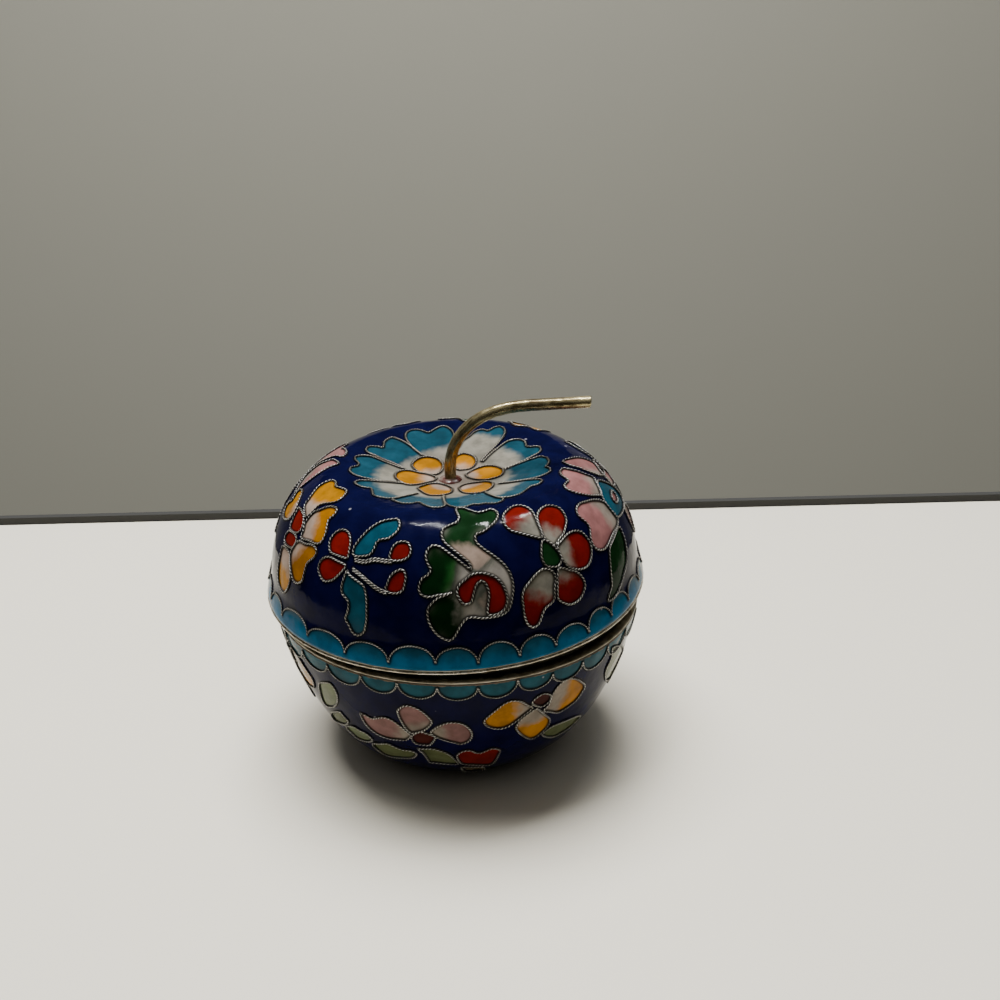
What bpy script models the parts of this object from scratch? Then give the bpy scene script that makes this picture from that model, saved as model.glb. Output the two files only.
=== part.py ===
"""Apple-shaped cloisonne enamel trinket box: a hollow bowl and a hollow dished lid of enamelled
copper, brass rims, an inner collar, a bent wire stem, and the raised wires that draw the pattern.
The origin is the centre of the flat underside, +Z is up and -Y is the front."""

import math

import bpy
from mathutils import Vector

# Driving dimensions, in millimetres and degrees
MM = 0.001
TURN_STEPS = 36
CLEARANCE = 0.3
WALL = 1.3

BOWL_RADIUS = 31.8
BOWL_HEIGHT = 26.8
BASE_RADIUS = 12.9
BOWL_SIDE_POWER = 0.855
BOWL_DROP_POWER = 1.57

RIM_THICKNESS = 0.5
RIM_WIDTH = 2.2
COLLAR_RADIUS = 30.2
COLLAR_WALL = 0.7
COLLAR_HEIGHT = 4.4

LID_RADIUS = 33.0
LID_HEIGHT = 21.0
CROWN_RADIUS = 20.1
DISH_DEPTH = 3.0
LID_SIDE_POWER = 1.26
LID_RISE_POWER = 0.845
LID_FLARE = 0.97
LID_FLARE_HEIGHT = 5.0
LID_RIM_HEIGHT = 0.7
LID_RIM_WIDTH = 1.5

# The lid sits loosely, its right side and its back a little high
LID_LIFT = 3.3
LID_TILT_FORWARD = 1.7
LID_TILT_LEFT = 1.65
LID_SHIFT_LEFT = 0.25

STEM_DIAMETER = 2.0
STEM_LENGTH = 31.9
STEM_BEND_START = 0.7
STEM_BEND_END = 23.5
STEM_LEAN_END = 89.6
STEM_BEND_EASE = 0.75
STEM_STEPS = 18

WIRE_DIAMETER = 0.5
WIRE_LIFT = 0.16
SCALLOPS = 30
LID_SCALLOP_HEIGHT = 4.4
BOWL_SCALLOP_HEIGHT = 3.4
SCALLOP_GAP = 0.9
LID_SCALLOP_BASE = 1.9
BOWL_SCALLOP_BASE = 1.0

TOP_PETALS = 10
TOP_FLOWER_RADIUS = 17.0
TOP_FLOWER_WAIST = 12.6
TOP_PETAL_NOTCH = 1.2
ROSETTE_PETALS = 6
ROSETTE_RADIUS = 8.0
ROSETTE_WAIST = 4.2

# Flowers: name, azimuth from the front, height above the edge, hub radius, and the petals as
# direction, length and width
YELLOW_PETALS = [(35, 9.4, 7.0), (107, 9.4, 7.0), (179, 9.4, 7.0), (251, 9.4, 7.0), (323, 9.4, 7.0)]
PINK_PETALS = [(74, 9.4, 5.6), (134, 9.4, 5.6), (194, 10.2, 5.6), (272, 9.4, 6.4), (340, 9.4, 6.4)]
RED_PETALS = [(120, 8.2, 5.4), (60, 7.2, 5.4), (-5, 7.6, 5.4), (-70, 7.8, 5.4), (-124, 11.6, 5.4)]
SPRIG_PETALS = [(133, 5.4, 4.4), (198, 5.6, 4.4), (52, 11.5, 5.0), (-72, 10.0, 4.6)]
TRIPLE_LEVEL = [(172, 11.5, 5.4), (100, 7.2, 5.4), (12, 9.4, 5.4)]
TRIPLE_LEANING = [(198, 10.6, 5.2), (-5, 9.4, 5.2), (-98, 9.2, 5.2)]
LID_FLOWERS = [
    ("lid_yellow_flower_wire", -69, 16.2, 2.6, YELLOW_PETALS),
    ("lid_sprig_wire", -35, 15.7, 1.6, SPRIG_PETALS),
    ("lid_red_flower_wire", 31, 15.6, 2.4, RED_PETALS),
    ("lid_pink_flower_wire", 73, 17.6, 2.6, PINK_PETALS),
    ("lid_back_sprig_wire", 103, 15.7, 1.6, SPRIG_PETALS),
    ("lid_back_yellow_flower_wire", 140, 16.2, 2.6, YELLOW_PETALS),
    ("lid_back_red_flower_wire", 205, 15.6, 2.4, RED_PETALS),
    ("lid_left_pink_flower_wire", 250, 17.6, 2.6, PINK_PETALS),
]
BOWL_FLOWERS = [
    ("bowl_pink_flower_wire", -13, 12.4, 1.6, TRIPLE_LEVEL),
    ("bowl_yellow_flower_wire", 25, 6.6, 1.6, TRIPLE_LEANING),
    ("bowl_right_pink_flower_wire", 72, 12.4, 1.6, TRIPLE_LEVEL),
    ("bowl_right_yellow_flower_wire", 112, 6.6, 1.6, TRIPLE_LEANING),
    ("bowl_back_pink_flower_wire", 162, 12.4, 1.6, TRIPLE_LEVEL),
    ("bowl_back_yellow_flower_wire", 200, 6.6, 1.6, TRIPLE_LEANING),
    ("bowl_left_pink_flower_wire", 251, 12.4, 1.6, TRIPLE_LEVEL),
    ("bowl_left_yellow_flower_wire", 289, 6.6, 1.6, TRIPLE_LEANING),
]

# Leaves and buds: name, azimuth, height above the edge, length, width and turn from level
LID_LEAVES = [
    ("lid_green_leaf_wire", -2, 11.7, 13.0, 6.6, 75),
    ("lid_green_leaf_tip_wire", 11, 21.5, 9.0, 6.0, 75),
    ("lid_red_bud_wire", 13.5, 12.2, 9.0, 6.0, 80),
    ("lid_right_leaf_wire", 55, 9.4, 7.2, 4.0, 62),
    ("lid_back_leaf_wire", 172, 13.0, 14.0, 7.5, 75),
    ("lid_left_leaf_wire", 225, 11.6, 10.0, 4.4, 80),
]
BOWL_LEAVES = [
    ("bowl_first_leaf_wire", -27, 18.4, 8.0, 3.6, 10),
    ("bowl_second_leaf_wire", -44, 9.5, 9.0, 4.2, 80),
    ("bowl_red_bud_wire", 6, 19.0, 7.6, 4.2, 0),
    ("bowl_third_leaf_wire", 39, 15.6, 8.6, 3.8, 5),
    ("bowl_right_leaf_wire", 92, 18.0, 8.0, 3.8, 10),
    ("bowl_back_leaf_wire", 134, 13.0, 9.0, 3.8, 80),
    ("bowl_back_bud_wire", 181, 18.8, 7.6, 4.0, 0),
    ("bowl_left_leaf_wire", 223, 14.0, 9.0, 3.6, 80),
    ("bowl_left_bud_wire", 269, 18.6, 7.6, 4.0, 0),
]

# Colour, roughness and metallic value of each material
FINISHES = {
    "blue_enamel": ((0.006, 0.014, 0.13), 0.16, 0.0),
    "brass": ((0.46, 0.36, 0.19), 0.34, 1.0),
    "gilt_wire": ((0.62, 0.58, 0.48), 0.3, 1.0),
}


def clear_scene():
    for old in list(bpy.data.objects):
        bpy.data.objects.remove(old, do_unlink=True)


def make_material(name):
    colour, roughness, metallic = FINISHES[name]
    material = bpy.data.materials.new(name)
    material.use_nodes = True
    shader = material.node_tree.nodes["Principled BSDF"]
    shader.inputs["Base Color"].default_value = (*colour, 1.0)
    shader.inputs["Roughness"].default_value = roughness
    shader.inputs["Metallic"].default_value = metallic
    return material


def smooth(value):
    value = min(max(value, 0.0), 1.0)
    return value * value * (3 - 2 * value)


def bowl_outline(top, steps=10):
    """(radius, height) down the bowl's outer side, from the height top to the edge of the base."""
    points = []
    for i in range(steps + 1):
        angle = 0.5 * math.pi * i / steps
        side = max(math.cos(angle), 0.0) ** BOWL_SIDE_POWER
        drop = math.sin(angle) ** BOWL_DROP_POWER
        radius = BASE_RADIUS + (BOWL_RADIUS - BASE_RADIUS) * side
        points.append((radius, min(BOWL_HEIGHT * (1 - drop), top)))
    return [p for i, p in enumerate(points) if i == 0 or points[i - 1][1] > p[1]]


def lid_side(rise):
    """(radius, height) on the lid's outer side, where rise goes from 0 at the edge to 1 at the crown."""
    angle = 0.5 * math.pi * rise
    height = LID_HEIGHT * math.sin(angle) ** LID_RISE_POWER
    inward = max(math.cos(angle), 0.0) ** LID_SIDE_POWER
    radius = CROWN_RADIUS + (LID_RADIUS - LID_FLARE - CROWN_RADIUS) * inward
    return radius + LID_FLARE * (1 - smooth(height / LID_FLARE_HEIGHT)), height


def lid_dish(radius):
    rise = math.sin(0.5 * math.pi * radius / CROWN_RADIUS) ** 2
    return radius, LID_HEIGHT - DISH_DEPTH * (1 - rise)


def lid_outline(bottom, dish_steps=5, side_steps=11):
    """(radius, height) from the middle of the dish out over the crown and down to the height bottom."""
    points = [lid_dish(CROWN_RADIUS * i / dish_steps) for i in range(dish_steps)]
    side = [lid_side(1 - i / side_steps) for i in range(side_steps)]
    points += [p for p in side if p[1] > bottom + 0.5]
    points.append((lid_side(0)[0] - 0.05, bottom))
    return points


def inset(points, distance):
    """The outline moved inwards by distance, across its own direction."""
    moved = []
    for i, (radius, height) in enumerate(points):
        before = points[max(i - 1, 0)]
        after = points[min(i + 1, len(points) - 1)]
        along = Vector((after[0] - before[0], after[1] - before[1])).normalized()
        moved.append((max(radius + along.y * distance, 0.0), height - along.x * distance))
    return moved


def turned(name, outline, material, closed=False):
    """A solid of revolution: the outline, in millimetres, screwed round the vertical axis."""
    mesh = bpy.data.meshes.new(name)
    edges = [(i, i + 1) for i in range(len(outline) - 1)]
    if closed:
        edges.append((len(outline) - 1, 0))
    mesh.from_pydata([(r * MM, 0.0, z * MM) for r, z in outline], edges, [])
    mesh.materials.append(material)
    solid = bpy.data.objects.new(name, mesh)
    screw = solid.modifiers.new("turn", "SCREW")
    screw.steps = TURN_STEPS
    screw.render_steps = TURN_STEPS
    screw.use_merge_vertices = True
    screw.merge_threshold = 0.00001
    screw.use_smooth_shade = True
    box.objects.link(solid)
    return solid


def ring(name, outer, width, low, high, material):
    """A flat brass ring whose outer edge is slightly rounded."""
    middle = 0.5 * (low + high)
    bulge = 0.2 * min(width, high - low)
    inner = outer - width
    outline = [(inner, high), (outer - bulge, high), (outer, middle), (outer - bulge, low), (inner, low)]
    return turned(name, outline, material, closed=True)


def make_bowl(enamel, brass):
    top = BOWL_HEIGHT - 0.5 * RIM_THICKNESS - CLEARANCE
    outer = bowl_outline(top)
    inner = inset(outer, WALL)
    inner[0] = (outer[0][0] - WALL, top)
    inner = [(radius, max(height, WALL)) for radius, height in inner[::2]]
    turned("bowl_body", [(0.0, WALL)] + inner[::-1] + outer + [(0.0, 0.0)], enamel)
    low = BOWL_HEIGHT - 0.5 * RIM_THICKNESS
    high = low + RIM_THICKNESS
    ring("bowl_rim", BOWL_RADIUS, RIM_WIDTH, low, high, brass)
    foot = high + CLEARANCE
    ring("inner_collar", COLLAR_RADIUS, COLLAR_WALL, foot, foot + COLLAR_HEIGHT, brass)


def make_lid(seat, enamel, brass):
    outer = lid_outline(LID_RIM_HEIGHT + CLEARANCE)
    inner = inset(outer, WALL)
    inner[0] = (0.0, outer[0][1] - WALL)
    inner[-1] = (outer[-1][0] - WALL, outer[-1][1])
    shell = turned("lid_body", outer + inner[::-2], enamel)
    rim = ring("lid_rim", LID_RADIUS, LID_RIM_WIDTH, 0.0, LID_RIM_HEIGHT, brass)
    shell.parent = seat
    rim.parent = seat


def arc_lengths(points):
    lengths = [0.0]
    for a, b in zip(points, points[1:]):
        lengths.append(lengths[-1] + math.hypot(b[0] - a[0], b[1] - a[1]))
    return lengths


def place_on(outline, azimuth, distance):
    """The point that lies distance along the outline from its first point, turned to azimuth, with
    its radius, lifted clear of the surface by half a wire and a little more."""
    upward = math.copysign(1, outline[-1][1] - outline[0][1])
    lengths = arc_lengths(outline)
    i = 1
    while i < len(outline) - 1 and lengths[i] < distance:
        i += 1
    share = (distance - lengths[i - 1]) / (lengths[i] - lengths[i - 1])
    a = Vector(outline[i - 1])
    b = Vector(outline[i])
    spot = a.lerp(b, share)
    along = (b - a).normalized()
    lift = WIRE_LIFT + 0.5 * WIRE_DIAMETER
    spot += Vector((along.y, -along.x)) * upward * lift
    return Vector((spot.x * math.sin(azimuth), -spot.x * math.cos(azimuth), spot.y)) * MM, spot.x


def tube(name, points, diameter, material, closed, smoothness=0):
    """A round wire along the points, which are in metres."""
    curve = bpy.data.curves.new(name, "CURVE")
    curve.dimensions = "3D"
    curve.bevel_depth = 0.5 * diameter * MM
    curve.bevel_resolution = smoothness
    curve.use_fill_caps = not closed
    spline = curve.splines.new("POLY")
    spline.points.add(len(points) - 1)
    for target, point in zip(spline.points, points):
        target.co = (*point, 1.0)
    spline.use_cyclic_u = closed
    curve.materials.append(material)
    wire = bpy.data.objects.new(name, curve)
    box.objects.link(wire)
    return wire


def petal_loop(hub, petals):
    """One closed line round a flower's petals, each given as direction, length and width."""
    line = []
    for direction, length, width in sorted(petals):
        steps = math.ceil(length / 5)
        heading = math.radians(direction)
        along = Vector((math.cos(heading), math.sin(heading)))
        across = Vector((-along.y, along.x))
        for side in (-1, 1):
            order = range(steps + 1) if side < 0 else range(steps, -1, -1)
            for i in order:
                swing = math.pi * (0.08 + 0.82 * i / steps)
                reach = hub + (length - hub) * 0.5 * (1 - math.cos(swing))
                line.append(along * reach + across * side * 0.5 * width * math.sin(swing) ** 0.8)
    return line


def leaf_loop(length, width, turn, steps=4):
    """One closed line round a pointed leaf."""
    heading = math.radians(turn)
    along = Vector((math.cos(heading), math.sin(heading)))
    across = Vector((-along.y, along.x))
    line = []
    for i in range(2 * steps):
        swing = 2 * math.pi * i / (2 * steps)
        spread = math.copysign(abs(math.sin(swing)) ** 0.8, math.sin(swing))
        line.append(along * 0.5 * length * math.cos(swing) + across * 0.5 * width * spread)
    return line


def lay_wire(name, loop, outline, azimuth, height, material):
    """A closed wire on a side, from a flat loop in millimetres. Height is measured from the edge."""
    points = []
    upward = math.copysign(1, outline[-1][1] - outline[0][1])
    middle = math.radians(azimuth)
    for x, y in loop:
        distance = height + upward * y
        _, radius = place_on(outline, middle, distance)
        point, _ = place_on(outline, middle + x / radius, distance)
        points.append(point)
    return tube(name, points, WIRE_DIAMETER, material, closed=True)


def scallop_line(radius, base, top):
    """A row of round arches from base to top, with a short flat between them, as azimuth and height."""
    line = []
    pitch = 2 * math.pi / SCALLOPS
    half = 0.5 * pitch - 0.5 * SCALLOP_GAP / radius
    for i in range(SCALLOPS):
        middle = i * pitch
        for swing in (-1.0, -0.5, 0.5, 1.0):
            rise = math.sqrt(1 - swing * swing)
            line.append((middle + swing * half, base + (top - base) * rise))
    return line


def lay_scallops(name, outline, radius, base, top, material):
    line = scallop_line(radius, base, top)
    points = [place_on(outline, azimuth, height)[0] for azimuth, height in line]
    return tube(name, points, WIRE_DIAMETER, material, closed=True)


def notched_petals(count, radius, waist, notch):
    """One closed line round petals that each have two round lobes, as angle and radius."""
    shape = [(0.0, waist), (0.17, 0.6 * radius + 0.4 * waist), (0.32, radius), (0.5, radius - notch)]
    shape += [(0.68, radius), (0.83, 0.6 * radius + 0.4 * waist)]
    return [(2 * math.pi * (i + share) / count, reach) for i in range(count) for share, reach in shape]


def lay_in_dish(name, line, material):
    """A closed wire in the dish of the lid, from angle and radius."""
    points = []
    lift = WIRE_LIFT + 0.5 * WIRE_DIAMETER
    for angle, radius in line:
        _, height = lid_dish(radius)
        points.append(Vector((radius * math.sin(angle), -radius * math.cos(angle), height + lift)) * MM)
    return tube(name, points, WIRE_DIAMETER, material, closed=True)


def stem_route():
    """The stem's centre line, found by following its heading, which bends from upright to level."""
    step = STEM_LENGTH / STEM_STEPS
    place = Vector((0.0, 0.0, LID_HEIGHT - DISH_DEPTH + CLEARANCE))
    route = [place.copy()]
    for i in range(STEM_STEPS):
        done = (i + 0.5) * step
        share = max(done - STEM_BEND_START, 0.0) / (STEM_BEND_END - STEM_BEND_START)
        bend = smooth(share ** STEM_BEND_EASE)
        heading = math.radians(STEM_LEAN_END * bend)
        place += Vector((math.sin(heading), 0.0, math.cos(heading))) * step
        route.append(place.copy())
    return [point * MM for point in route]


clear_scene()
box = bpy.data.collections.new("cloisonne_enamel_box")
bpy.context.scene.collection.children.link(box)
blue_enamel = make_material("blue_enamel")
brass = make_material("brass")
gilt_wire = make_material("gilt_wire")

BOWL_SIDE = bowl_outline(BOWL_HEIGHT)
LID_SIDE = [lid_side(i / 16) for i in range(17)]

lid_seat = bpy.data.objects.new("lid_seat", None)
lid_seat.location = (-LID_SHIFT_LEFT * MM, 0.0, (BOWL_HEIGHT + LID_LIFT) * MM)
lid_seat.rotation_euler = (math.radians(LID_TILT_FORWARD), math.radians(-LID_TILT_LEFT), 0.0)
box.objects.link(lid_seat)

make_bowl(blue_enamel, brass)
make_lid(lid_seat, blue_enamel, brass)
stem = tube("stem", stem_route(), STEM_DIAMETER, brass, closed=False, smoothness=2)

lid_wires = [lay_scallops(
    "lid_scallop_wire", LID_SIDE, LID_RADIUS, LID_SCALLOP_BASE, LID_SCALLOP_HEIGHT, gilt_wire)]
lay_scallops(
    "bowl_scallop_wire", BOWL_SIDE, BOWL_RADIUS, BOWL_SCALLOP_BASE, BOWL_SCALLOP_HEIGHT, gilt_wire)
top_line = notched_petals(TOP_PETALS, TOP_FLOWER_RADIUS, TOP_FLOWER_WAIST, TOP_PETAL_NOTCH)
lid_wires.append(lay_in_dish("top_flower_wire", top_line, gilt_wire))
rosette_line = notched_petals(ROSETTE_PETALS, ROSETTE_RADIUS, ROSETTE_WAIST, 0.0)
lid_wires.append(lay_in_dish("top_rosette_wire", rosette_line, gilt_wire))

for name, azimuth, height, hub, petals in LID_FLOWERS:
    loop = petal_loop(hub, petals)
    lid_wires.append(lay_wire(name, loop, LID_SIDE, azimuth, height, gilt_wire))
for name, azimuth, height, length, width, turn in LID_LEAVES:
    loop = leaf_loop(length, width, turn)
    lid_wires.append(lay_wire(name, loop, LID_SIDE, azimuth, height, gilt_wire))
for name, azimuth, height, hub, petals in BOWL_FLOWERS:
    lay_wire(name, petal_loop(hub, petals), BOWL_SIDE, azimuth, height, gilt_wire)
for name, azimuth, height, length, width, turn in BOWL_LEAVES:
    loop = leaf_loop(length, width, turn)
    lay_wire(name, loop, BOWL_SIDE, azimuth, height, gilt_wire)

for wire in [stem] + lid_wires:
    wire.parent = lid_seat
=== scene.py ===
"""The looks of the apple-shaped cloisonne enamel box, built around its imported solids.

Lengths are millimetres. The box's frame has its origin at the middle of the underside, +Z up and
-Y to the front. A place on one half is an azimuth, in radians from the front to the right, and a
reach, measured along the outline: up from the lid's edge, or down from the bowl's mouth."""

import math
import random

import bpy
import numpy as np
from mathutils import Euler, Matrix, Vector, kdtree, noise


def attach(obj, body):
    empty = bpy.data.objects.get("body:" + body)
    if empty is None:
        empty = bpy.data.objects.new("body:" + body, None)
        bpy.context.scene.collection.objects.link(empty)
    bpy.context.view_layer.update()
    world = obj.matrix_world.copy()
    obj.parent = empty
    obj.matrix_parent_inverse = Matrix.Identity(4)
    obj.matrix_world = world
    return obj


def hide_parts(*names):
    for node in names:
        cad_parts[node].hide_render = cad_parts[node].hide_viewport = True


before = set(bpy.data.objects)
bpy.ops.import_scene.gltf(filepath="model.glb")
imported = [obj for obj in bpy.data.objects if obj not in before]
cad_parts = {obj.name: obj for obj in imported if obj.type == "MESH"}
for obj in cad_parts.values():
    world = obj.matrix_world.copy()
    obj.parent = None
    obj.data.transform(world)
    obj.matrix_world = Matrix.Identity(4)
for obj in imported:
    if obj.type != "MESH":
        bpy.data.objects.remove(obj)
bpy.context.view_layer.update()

MM = 0.001
CHANCE = random.Random(11)

# Sizes that the solids have too
WALL = 1.3
BOWL_RADIUS = 31.8
BOWL_HEIGHT = 26.8
BASE_RADIUS = 12.9
BOWL_SIDE_POWER = 0.855
BOWL_DROP_POWER = 1.57
RIM_THICKNESS = 0.5
RIM_WIDTH = 2.2
COLLAR_RADIUS = 30.2
COLLAR_WALL = 0.7
COLLAR_HEIGHT = 4.4
LID_RADIUS = 33.0
LID_HEIGHT = 21.0
CROWN_RADIUS = 20.1
DISH_DEPTH = 3.0
LID_SIDE_POWER = 1.26
LID_RISE_POWER = 0.845
LID_FLARE = 0.97
LID_FLARE_HEIGHT = 5.0
LID_RIM_WIDTH = 1.5
LID_LIFT = 3.3
LID_TILT_FORWARD = 1.7
LID_TILT_LEFT = 1.65
LID_SHIFT_LEFT = 0.25
STEM_DIAMETER = 2.0
STEM_LENGTH = 31.9
STEM_BEND_START = 0.7
STEM_BEND_END = 23.5
STEM_LEAN_END = 89.6
STEM_BEND_EASE = 0.75
SCALLOPS = 30
DISH_FLOOR = LID_HEIGHT - DISH_DEPTH

# Twisted wires: the length of one bead by place, and a strand's thickness for each mm of that length
MOTIF_BEAD = 0.62
BORDER_BEAD = 0.48
DISH_BEAD = 0.52
STRAND_THICKNESS = 0.205
STRAND_SIDES = 8
STEPS_PER_BEAD = 5
WIRE_LIFT = 0.13

# The fine mesh of each half, from a little way past its edge
LID_MESH_START = 0.75
BOWL_MESH_START = 0.25
HALF_COLUMNS = 600
ROW_STEP = 0.34
INNER_ROWS = 24
SHORE_LIMIT = 3.0

# The camera, found from the photograph's proportions
CAMERA_PLACE = Vector((0.0, -196.6, 128.8))
CAMERA_YAW = 2.229
CAMERA_PITCH = 23.353
CAMERA_ROLL = -0.488
FOCAL_PIXELS = 1238.8
FRAME_PIXELS = 1000
SENSOR = 36.0

# Enamel colours, as linear red, green and blue
GLAZES = {
    "blue": (0.0016, 0.0019, 0.02),
    "turquoise": (0.006, 0.048, 0.073),
    "lake": (0.008, 0.085, 0.17),
    "teal": (0.012, 0.06, 0.1),
    "dull_teal": (0.012, 0.062, 0.085),
    "sky": (0.009, 0.042, 0.062),
    "white": (0.17, 0.16, 0.13),
    "grey_white": (0.23, 0.21, 0.18),
    "blush": (0.27, 0.2, 0.155),
    "yellow": (0.27, 0.112, 0.0006),
    "orange": (0.31, 0.125, 0.003),
    "amber": (0.23, 0.088, 0.001),
    "dull_orange": (0.29, 0.12, 0.008),
    "red": (0.12, 0.005, 0.003),
    "pink": (0.23, 0.1, 0.095),
    "dusty_pink": (0.17, 0.09, 0.085),
    "beige": (0.2, 0.17, 0.14),
    "green": (0.004, 0.022, 0.006),
    "dark_green": (0.0015, 0.012, 0.0025),
    "light_green": (0.008, 0.06, 0.01),
    "olive": (0.075, 0.085, 0.04),
    "pale_olive": (0.12, 0.14, 0.08),
    "heart": (0.19, 0.16, 0.13),
    "maroon": (0.04, 0.008, 0.006),
    "dark_grey": (0.03, 0.034, 0.026),
    "tan": (0.12, 0.09, 0.05),
}


def smooth(value):
    value = np.clip(value, 0.0, 1.0)
    return value * value * (3 - 2 * value)


# The two turned surfaces


def bowl_outline():
    angle = np.linspace(0.0, 0.5 * np.pi, 900)
    side = np.maximum(np.cos(angle), 0.0) ** BOWL_SIDE_POWER
    radius = BASE_RADIUS + (BOWL_RADIUS - BASE_RADIUS) * side
    height = BOWL_HEIGHT * (1 - np.sin(angle) ** BOWL_DROP_POWER)
    floor = np.linspace(BASE_RADIUS, 0.0, 60)[1:]
    return np.concatenate([radius, floor]), np.concatenate([height, 0 * floor])


def lid_outline():
    angle = np.linspace(0.0, 0.5 * np.pi, 900)
    height = LID_HEIGHT * np.sin(angle) ** LID_RISE_POWER
    inward = np.maximum(np.cos(angle), 0.0) ** LID_SIDE_POWER
    radius = CROWN_RADIUS + (LID_RADIUS - LID_FLARE - CROWN_RADIUS) * inward
    radius += LID_FLARE * (1 - smooth(height / LID_FLARE_HEIGHT))
    dish = np.linspace(CROWN_RADIUS, 0.0, 300)[1:]
    sunk = LID_HEIGHT - DISH_DEPTH * np.cos(0.5 * np.pi * dish / CROWN_RADIUS) ** 2
    return np.concatenate([radius, dish]), np.concatenate([height, sunk])


class Skin:
    """One half's outer surface, in that half's own frame."""

    def __init__(self, outline, upward, seat):
        self.radius, self.height = outline
        steps = np.hypot(np.diff(self.radius), np.diff(self.height))
        self.reach = np.concatenate([[0.0], np.cumsum(steps)])
        self.upward = upward
        self.seat = seat
        self.turn = int(np.argmax(self.height)) if upward > 0 else len(self.reach) - 60
        across = np.gradient(self.height, self.reach) * upward
        rise = -np.gradient(self.radius, self.reach) * upward
        self.across = np.convolve(np.pad(across, 6, mode="edge"), np.ones(13) / 13, mode="valid")
        self.rise = np.convolve(np.pad(rise, 6, mode="edge"), np.ones(13) / 13, mode="valid")

    def radius_at(self, reach):
        return np.interp(reach, self.reach, self.radius)

    def normal(self, azimuth, reach):
        across = np.interp(reach, self.reach, self.across)
        rise = np.interp(reach, self.reach, self.rise)
        return np.stack([across * np.sin(azimuth), -across * np.cos(azimuth), rise], -1)

    def point(self, azimuth, reach, lift=0.0):
        radius = self.radius_at(reach)
        height = np.interp(reach, self.reach, self.height)
        spot = np.stack([radius * np.sin(azimuth), -radius * np.cos(azimuth), height], -1)
        return spot + self.normal(azimuth, reach) * np.reshape(lift, (-1, 1))

    def dish_reach(self, radius):
        """The reach of a place in the lid's dish, from its distance to the middle."""
        return np.interp(radius, self.radius[self.turn:][::-1], self.reach[self.turn:][::-1])

    def outside(self, spots):
        """How far spots are outside the surface, roughly. Below 0 is inside."""
        radius = np.hypot(spots[..., 0], spots[..., 1])
        height = spots[..., 2]
        order = slice(0, self.turn + 1)
        heights, radii = self.height[order], self.radius[order]
        if self.upward < 0:
            heights, radii = heights[::-1], radii[::-1]
        gap = radius - np.interp(height, heights, radii)
        gap = np.maximum(gap, height - heights[-1])
        gap = np.maximum(gap, -height)
        if self.upward > 0:
            dish = LID_HEIGHT - DISH_DEPTH * np.cos(0.5 * np.pi * radius / CROWN_RADIUS) ** 2
            gap = np.where(radius < CROWN_RADIUS, np.maximum(gap, height - dish), gap)
        return gap

    def seen_at(self, pixels):
        """Azimuth and reach of the places that the photograph shows at these pixels."""
        back = np.array(self.seat.inverted())
        start = back[:3, :3] @ np.array(CAMERA_PLACE) + back[:3, 3]
        rays = aims(pixels) @ back[:3, :3].T
        far = np.linspace(140.0, 290.0, 900)
        gaps = self.outside(start + rays[:, None, :] * far[None, :, None])
        first = np.where((gaps < 0).any(1), np.argmax(gaps < 0, 1), np.argmin(gaps, 1))
        near, past = far[np.maximum(first - 1, 0)], far[first]
        for _ in range(14):
            middle = 0.5 * (near + past)
            inside = self.outside(start + rays * middle[:, None]) < 0
            near, past = np.where(inside, near, middle), np.where(inside, middle, past)
        spots = start + rays * past[:, None]
        radius = np.hypot(spots[:, 0], spots[:, 1])
        apart = np.hypot(radius[:, None] - self.radius, spots[:, 2:3] - self.height)
        return np.arctan2(spots[:, 0], -spots[:, 1]), self.reach[np.argmin(apart, 1)]


def camera_axes():
    """The camera's right, up and forward directions."""
    yaw, pitch, roll = (math.radians(a) for a in (CAMERA_YAW, CAMERA_PITCH, CAMERA_ROLL))
    level = Vector((math.cos(yaw), -math.sin(yaw), 0.0))
    ahead = Vector((math.sin(yaw) * math.cos(pitch), math.cos(yaw) * math.cos(pitch), -math.sin(pitch)))
    upright = level.cross(ahead)
    right = level * math.cos(roll) + upright * math.sin(roll)
    up = upright * math.cos(roll) - level * math.sin(roll)
    return right, up, ahead


def aims(pixels):
    """Unit directions from the camera through pixels."""
    right, up, ahead = (np.array(axis) for axis in camera_axes())
    shift = (np.asarray(pixels, float) - 0.5 * FRAME_PIXELS) / FOCAL_PIXELS
    rays = ahead + shift[:, :1] * right - shift[:, 1:] * up
    return rays / np.linalg.norm(rays, axis=1, keepdims=True)


def rounded(points, closed=True, steps=6):
    """A smooth line through the points, by Catmull and Rom's formula."""
    points = np.asarray(points, float)
    if not closed:
        points = np.concatenate([points[:1], points, points[-1:]])
    before, here = np.roll(points, 1, 0), points
    after, beyond = np.roll(points, -1, 0), np.roll(points, -2, 0)
    line = []
    for t in np.arange(steps) / steps:
        line.append(here + 0.5 * t * (after - before)
                    + t * t * (before - 2.5 * here + 2 * after - 0.5 * beyond)
                    + 0.5 * t ** 3 * (3 * (here - after) + beyond - before))
    line = np.stack(line, 1)
    if closed:
        return line.reshape(-1, 2)
    return np.concatenate([line[1:-2].reshape(-1, 2), points[-1:]])


class Cell:
    """A patch of enamel: its edge, its colour at the tip, its colour by the hub, the share of its
    length where one gives way to the other, and whether a wire follows its edge."""

    def __init__(self, azimuth, reach, hub, far, near=None, share=0.4, wired=True):
        self.azimuth, self.reach, self.hub = azimuth, reach, hub
        self.far, self.near, self.share, self.wired = far, near or far, share, wired

    def moved(self, skin, hub):
        azimuth, reach = unflat(skin, hub, *flat(skin, self.hub, self.azimuth, self.reach))
        return Cell(azimuth, reach, hub, self.far, self.near, self.share, self.wired)


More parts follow.
